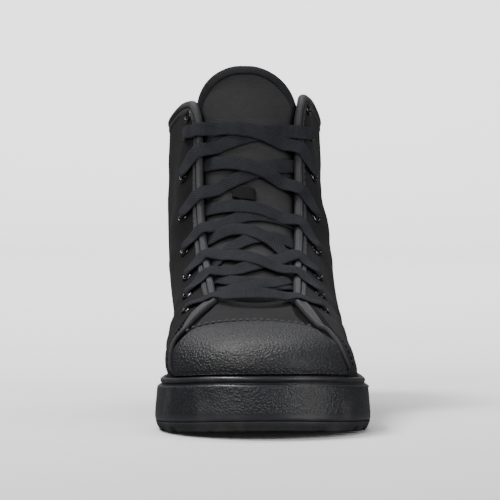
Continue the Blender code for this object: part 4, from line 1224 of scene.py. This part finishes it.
# A lace's end over the wall, as knots of place, facing, width and thickness: up through its eyelet,
# bunched, then flat over the wall to the throat's edge at a station.
def endOverWall(number, side, station):
    width, thick = lace["width"], lace["thick"]
    bunchedWide, bunchedThick = lace["bunched"]
    eyeletAlong, inset = eyeletStation(number)
    centre, normal, toEdge = eyeletPlace(number, side)
    edge, edgeNormal = onWall(station, side, 0.6, 2.75)
    towards = squareTo(edge - centre, normal)
    middle, middleNormal = onWall(0.35 * eyeletAlong + 0.65 * station, side, 0.42 * inset, 1.9)
    return [(centre - normal * 4.2, -toEdge, bunchedWide, bunchedThick),
            (centre - normal * 0.6, -toEdge, bunchedWide, bunchedThick),
            (centre + normal * 1.5 + towards * 0.3, unit(normal * 0.6 - towards * 0.8), bunchedWide + 0.3,
             bunchedThick * 0.85),
            (centre + normal * 2.5 + towards * 1.9, unit(normal - towards * 0.25), bunchedWide + 1.8, 1.9),
            (centre + normal * 2.3 + towards * 4.4, normal, width * 0.93, thick),
            (middle, middleNormal, width, thick), (edge, edgeNormal, width, thick)]


# The same for an end that comes from under the wall.
def endUnderWall(number, side, station):
    width, thick = lace["width"], lace["thick"]
    centre, normal, toEdge = eyeletPlace(number, side)
    return [(centre - normal * (last["wall"] + 1.6) + toEdge * 3.0, normal, width * 0.8, thick),
            (*onWall(station, side, 3.0, -last["wall"] - 1.2), width, thick)]


# One run of the lace as such knots: an end, an arch over the tongue and the other end. Where the
# tongue is low it runs taut between the two edges. Its near, middle and far are where it crosses
# the throat's edge, the tongue's middle and the other edge, in spacings up from its eyelet, and
# it follows the parabola through them.
def laceKnots(start, end, side, run):
    width, thick = lace["width"], lace["thick"]
    base = eyeletStation(start)[0]
    spacing = eyeletStation(start + 1)[0] - base
    nearAt, middleAt, farAt = (base + spacing * run[name] for name in ("near", "middle", "far"))
    nearKnots = (endOverWall if run["overStart"] else endUnderWall)(start, side, nearAt)
    farKnots = (endOverWall if run["overEnd"] else endUnderWall)(end, -side, farAt)
    near, far = nearKnots[-1][0], farKnots[-1][0]
    tilt = np.radians(run["tilt"])
    archKnots = []
    for part in np.linspace(0, 1, 9)[1 if run["overStart"] else 0: -1 if run["overEnd"] else None]:
        along = nearAt * (1 - part) * (1 - 2 * part) + middleAt * 4 * part * (1 - part) + farAt * part * (2 * part - 1)
        row = rowOf(along)
        x = side * (1 - 2 * part) * (float(readTable(upperRows, "topHalf", along)) - 4.0)
        across = x / readTable(tongueRows, "half", row)
        _, lean = throatAt(np.asarray(along))
        arch = 1 - abs(2 * part - 1) ** 1.8
        normal = unit(lean + np.array([0.6 * across, 0, 0]))
        facing = unit(normal + np.array([0, -1, 0]) * np.tan(tilt) * arch)
        point = tongueFace(row, across) + normal * (0.5 * thick + lace["clear"])
        taut = near + (far - near) * (point[0] - near[0]) / (far[0] - near[0])
        rise = max((taut - point) @ normal, 0.0) + (run["lift"] + 0.4 * width * np.sin(tilt)) * arch
        archKnots.append((point + normal * rise, facing, width, thick))
    return np.array([[*point, *facing, wide, tall]
                     for point, facing, wide, tall in nearKnots + archKnots + farKnots[::-1]])


# A flat woven lace along its knots: a rounded strip, a little thicker at both edges, whose width
# varies by a few sine waves of the length.
def laceMesh(name, runs, standsFor):
    turn = np.arange(lace["around"]) * 2 * np.pi / lace["around"]
    flat = 0.5 * joined(np.sign(np.cos(turn)) * np.abs(np.cos(turn)) ** 0.55,
                        np.sign(np.sin(turn)) * np.abs(np.sin(turn)) ** 0.6)
    flat[:, 1] *= 0.86 + 0.28 * (2 * np.abs(flat[:, 0])) ** 4
    points, faces, uvs, count = [], [], [], 0
    for knots in runs:
        path = smoothThrough(knots, lace["steps"])
        middle, facing, wide, tall = path[:, :3], path[:, 3:6], path[:, 6], path[:, 7]
        run = unit(np.gradient(middle, axis=0))
        across = unit(np.cross(run, facing))
        up = unit(np.cross(across, run))
        at = walkedLength(middle)
        wobble = 1 + 0.03 * np.sin(at / 3.1 + count) + 0.02 * np.sin(at / 1.3)
        ends = endRound(at, 0.8)
        rings = sweep(middle, across, up, flat, wide * wobble * ends, tall * ends)
        points.append(rings.reshape(-1, 3))
        faces.append(sweepFaces(*rings.shape[:2]) + count)
        uvs.append(joined(flat[:, 0] * lace["width"], at[:, None]).reshape(-1, 2))
        count += len(points[-1])
    makeMesh(name, np.concatenate(points), np.concatenate(faces), laceCotton, "lace_cotton", standsFor,
             np.concatenate(uvs))


# The bar leaves and enters the lowest pair of eyelets, and each crossing goes one pair up.
def makeLaces():
    runs = {}
    for values in zip(*laceRuns.values()):
        run = dict(zip(laceRuns, values))
        crossing = int(run["crossing"])
        runs.setdefault(crossing, []).append(laceKnots(max(crossing, 1), crossing + 1, run["side"], run))
    for crossing, knots in runs.items():
        if crossing:
            laceMesh(f"laceCrossing{crossing}", knots, (f"lace_crossing_{crossing}",))
        else:
            laceMesh("laceBar", knots, ("lace_bar",))


makeEyelets()
makeLaces()
print("laces made")


stitch = {"long": 2.5, "gap": 0.9, "thick": 0.55, "above": 0.03, "besideEdge": 5.4, "behindFront": (6.3, 8.5),
          "heelStation": 0.985, "capLong": 2.1, "capStep": 3.6, "capThick": 1.3, "behindCap": 3.0, "sides": 6,
          # along a stitch: share of its length, thickness, and rise in the middle
          "profile": ((0.0, 0.35, -0.35), (0.12, 0.85, 0.1), (0.35, 1.0, 0.28), (0.65, 1.0, 0.28), (0.88, 0.85, 0.1),
                      (1.0, 0.35, -0.35))}


# Stitches between starts and ends: each a small capsule, bowed up in its middle and sunk at
# both ends.
def stitchMesh(name, starts, ends, normals, material, thick):
    share, fat, bow = np.array(stitch["profile"]).T
    turn = np.arange(stitch["sides"]) * 2 * np.pi / stitch["sides"]
    run = ends - starts
    across = unit(np.cross(run, normals))
    up = unit(np.cross(across, run))
    centre = starts[:, None] + run[:, None] * share[:, None] + up[:, None] * bow[:, None]
    spoke = np.cos(turn)[:, None] * across[:, None] + np.sin(turn)[:, None] * up[:, None]
    rings = centre[:, :, None] + spoke[:, None] * fat[:, None, None] * thick * 0.5
    count = share.size * turn.size
    faces = sweepFaces(share.size, turn.size) + (np.arange(len(starts)) * count)[:, None, None]
    uv = np.broadcast_to(joined(turn * 0.3, share[:, None] * 2.5), (*rings.shape[:3], 2))
    makeMesh(name, rings, faces.reshape(-1, 4), material, "upper_nubuck", (), uv)


# Starts, ends and normals of stitches along a path.
def stitchRow(points, normals, step, long):
    walked = walkedLength(points)
    at = np.arange(0.5, walked[-1] - long, step)

    def read(where, values):
        return np.stack([np.interp(where, walked, column) for column in values.T], axis=1)

    return read(at, points), read(at + long, points), unit(read(at + long / 2, normals))


# Dark rows on each quarter: one beside the throat's binding and the collar, twin rows behind the
# front edge, and one beside the heel seam. A grey row along the toe cap's back edge, on the vamp.
def makeStitches():
    lines = []
    for side in (-1.0, 1.0):
        along = np.linspace(0.31, 1.0, 500)
        levels = np.linspace(0.8, 1, 40)
        away = np.linalg.norm(skin(along[:, None], side, levels) - skin(along, side, 1.0)[:, None], axis=-1)
        lines.append((along, side, np.array([np.interp(-stitch["besideEdge"], -row, levels) for row in away])))
        level = np.linspace(0.05, 0.97, 300)
        front = readSide(frontRows, "edge", level, side)
        stretch = perStation(front, side, level)
        lines += [(front + behind / stretch, side, level) for behind in stitch["behindFront"]]
        lines.append((np.full(300, stitch["heelStation"]), side, level))
    rows = [stitchRow(quarterFace(*line, 1.0, stitch["above"]), skinNormal(*line), stitch["long"] + stitch["gap"],
                      stitch["long"]) for line in lines]
    stitchMesh("panelStitches", *(np.concatenate(values) for values in zip(*rows)), darkThread, stitch["thick"])
    heelwards = unit(np.cross(capEdgeNormal, unit(np.gradient(capEdge, axis=0))))
    heelwards = heelwards * np.sign(heelwards[:, 1:2])
    seat = capEdge + heelwards * stitch["behindCap"] + capEdgeNormal * (upper["vamp"] + 0.4)
    bare = aheadOfFront(*capEdgePlace) > 4.5
    row = stitchRow(seat[bare], capEdgeNormal[bare], stitch["capStep"], stitch["capLong"])
    stitchMesh("capStitches", *row, greyThread, stitch["capThick"])


makeStitches()
print("stitches made")


# a sheet that lies flat, then sweeps up behind the boot in a quarter round, in metres
floor = {"half": 6.0, "flatTo": 2.5, "radius": 1.5, "seen": (0.97, 0.97, 0.97), "given": (0.42, 0.42, 0.42),
         "mirrored": (0.08, 0.08, 0.08), "glow": (0.008, 0.46), "glowFrom": (0.9, 3.6)}


def makeFloor():
    material = bpy.data.materials.new("paleFloor")
    material.use_nodes = True
    tree = material.node_tree
    shader = tree.nodes["Principled BSDF"]
    coords = tree.nodes.new("ShaderNodeTexCoord").outputs["Object"]
    tree.links.new(ramp(tree, noise(tree, coords, 3.0), 0.2, 0.8, 0.55, 0.6), shader.inputs["Roughness"])
    # white to look at, grey for the light it sends back, and dark in reflections
    rays = tree.nodes.new("ShaderNodeLightPath").outputs
    colour = mixColour(tree, rays["Is Glossy Ray"], floor["given"], floor["mirrored"])
    colour = mixColour(tree, rays["Is Camera Ray"], colour, floor["seen"])
    tree.links.new(colour, shader.inputs["Base Color"])
    # It glows for the camera, faintly near the boot, lifting the shade under the toe, and more far from the lamps, so
    # that no dark band shows behind the boot: painted light.
    away = addNode(tree, "ShaderNodeVectorMath", {"operation": "LENGTH"}, n0=coords).outputs["Value"]
    glow = times(tree, ramp(tree, away, *floor["glowFrom"], *floor["glow"]), rays["Is Camera Ray"])
    tree.links.new(mixColour(tree, glow, (0, 0, 0), (1, 1, 1)), shader.inputs["Emission Color"])
    shader.inputs["Emission Strength"].default_value = 1.0
    half, flatTo, radius = floor["half"], floor["flatTo"], floor["radius"]
    turn = np.linspace(0, 0.5 * np.pi, 20)[1:]
    run = np.concatenate([np.linspace(-half, flatTo, 30), flatTo + radius * np.sin(turn), np.full(10, flatTo + radius)])
    rise = np.concatenate([np.zeros(30), radius * (1 - np.cos(turn)), np.linspace(radius + 0.3, half, 10)])
    across = np.linspace(-half, half, 12)
    grid = joined(across, run[:, None], rise[:, None]).reshape(-1, 3)
    mesh = bpy.data.meshes.new("sweepFloor")
    mesh.from_pydata(grid.tolist(), [], gridFaces(run.size, across.size).tolist())
    mesh.polygons.foreach_set("use_smooth", np.ones(len(mesh.polygons), bool))
    mesh.materials.append(material)
    sheet = bpy.data.objects.new("sweepFloor", mesh)
    bpy.context.scene.collection.objects.link(sheet)


# each lamp's place, what it points at, its size in metres and its power in watts
lights = {"key": ((-1.0, -1.5, 1.1), (-0.004, 0.0, 0.09), 0.9, 22.0),
          "fill": ((1.65, -1.3, 0.62), (-0.004, 0.0, 0.09), 1.0, 26.0),
          "top": ((-0.62, -0.04, 1.28), (-0.01, -0.1, 0.05), 0.38, 17.0),
          "wash": ((0.0, 1.1, 2.6), (0.0, 3.6, 0.9), 2.0, 220.0)}
world = {"asLamp": 0.12, "seen": 1.0}
view = {"from": (-0.0805, -1.7515, 0.150), "aim": (-0.0035, 0.0, 0.09), "lens": 232, "sensor": 36, "clip": 30}


def pointAt(thing, target):
    run = Vector(target) - thing.location
    thing.rotation_euler = run.to_track_quat("-Z", "Y").to_euler()


def makeLights():
    for name, (where, target, size, power) in lights.items():
        lamp = bpy.data.lights.new(name + "Light", "AREA")
        lamp.shape = "SQUARE"
        lamp.size = size
        lamp.energy = power
        thing = bpy.data.objects.new(name + "Light", lamp)
        thing.location = where
        bpy.context.scene.collection.objects.link(thing)
        pointAt(thing, target)
    studio = bpy.data.worlds.new("studio")
    bpy.context.scene.world = studio
    studio.use_nodes = True
    tree = studio.node_tree
    seen = tree.nodes.new("ShaderNodeLightPath").outputs["Is Camera Ray"]  # white to look at, dim as a lamp
    strength = plus(tree, times(tree, seen, world["seen"] - world["asLamp"]), world["asLamp"])
    tree.nodes["Background"].inputs[0].default_value = (1, 1, 1, 1)
    tree.links.new(strength, tree.nodes["Background"].inputs[1])


def makeCamera():
    data = bpy.data.cameras.new("camera")
    data.sensor_width = view["sensor"]
    data.lens = view["lens"]
    data.clip_end = view["clip"]
    camera = bpy.data.objects.new("camera", data)
    camera.location = view["from"]
    bpy.context.scene.collection.objects.link(camera)
    pointAt(camera, view["aim"])
    bpy.context.scene.camera = camera


makeFloor()
makeLights()
makeCamera()
print("stage set")
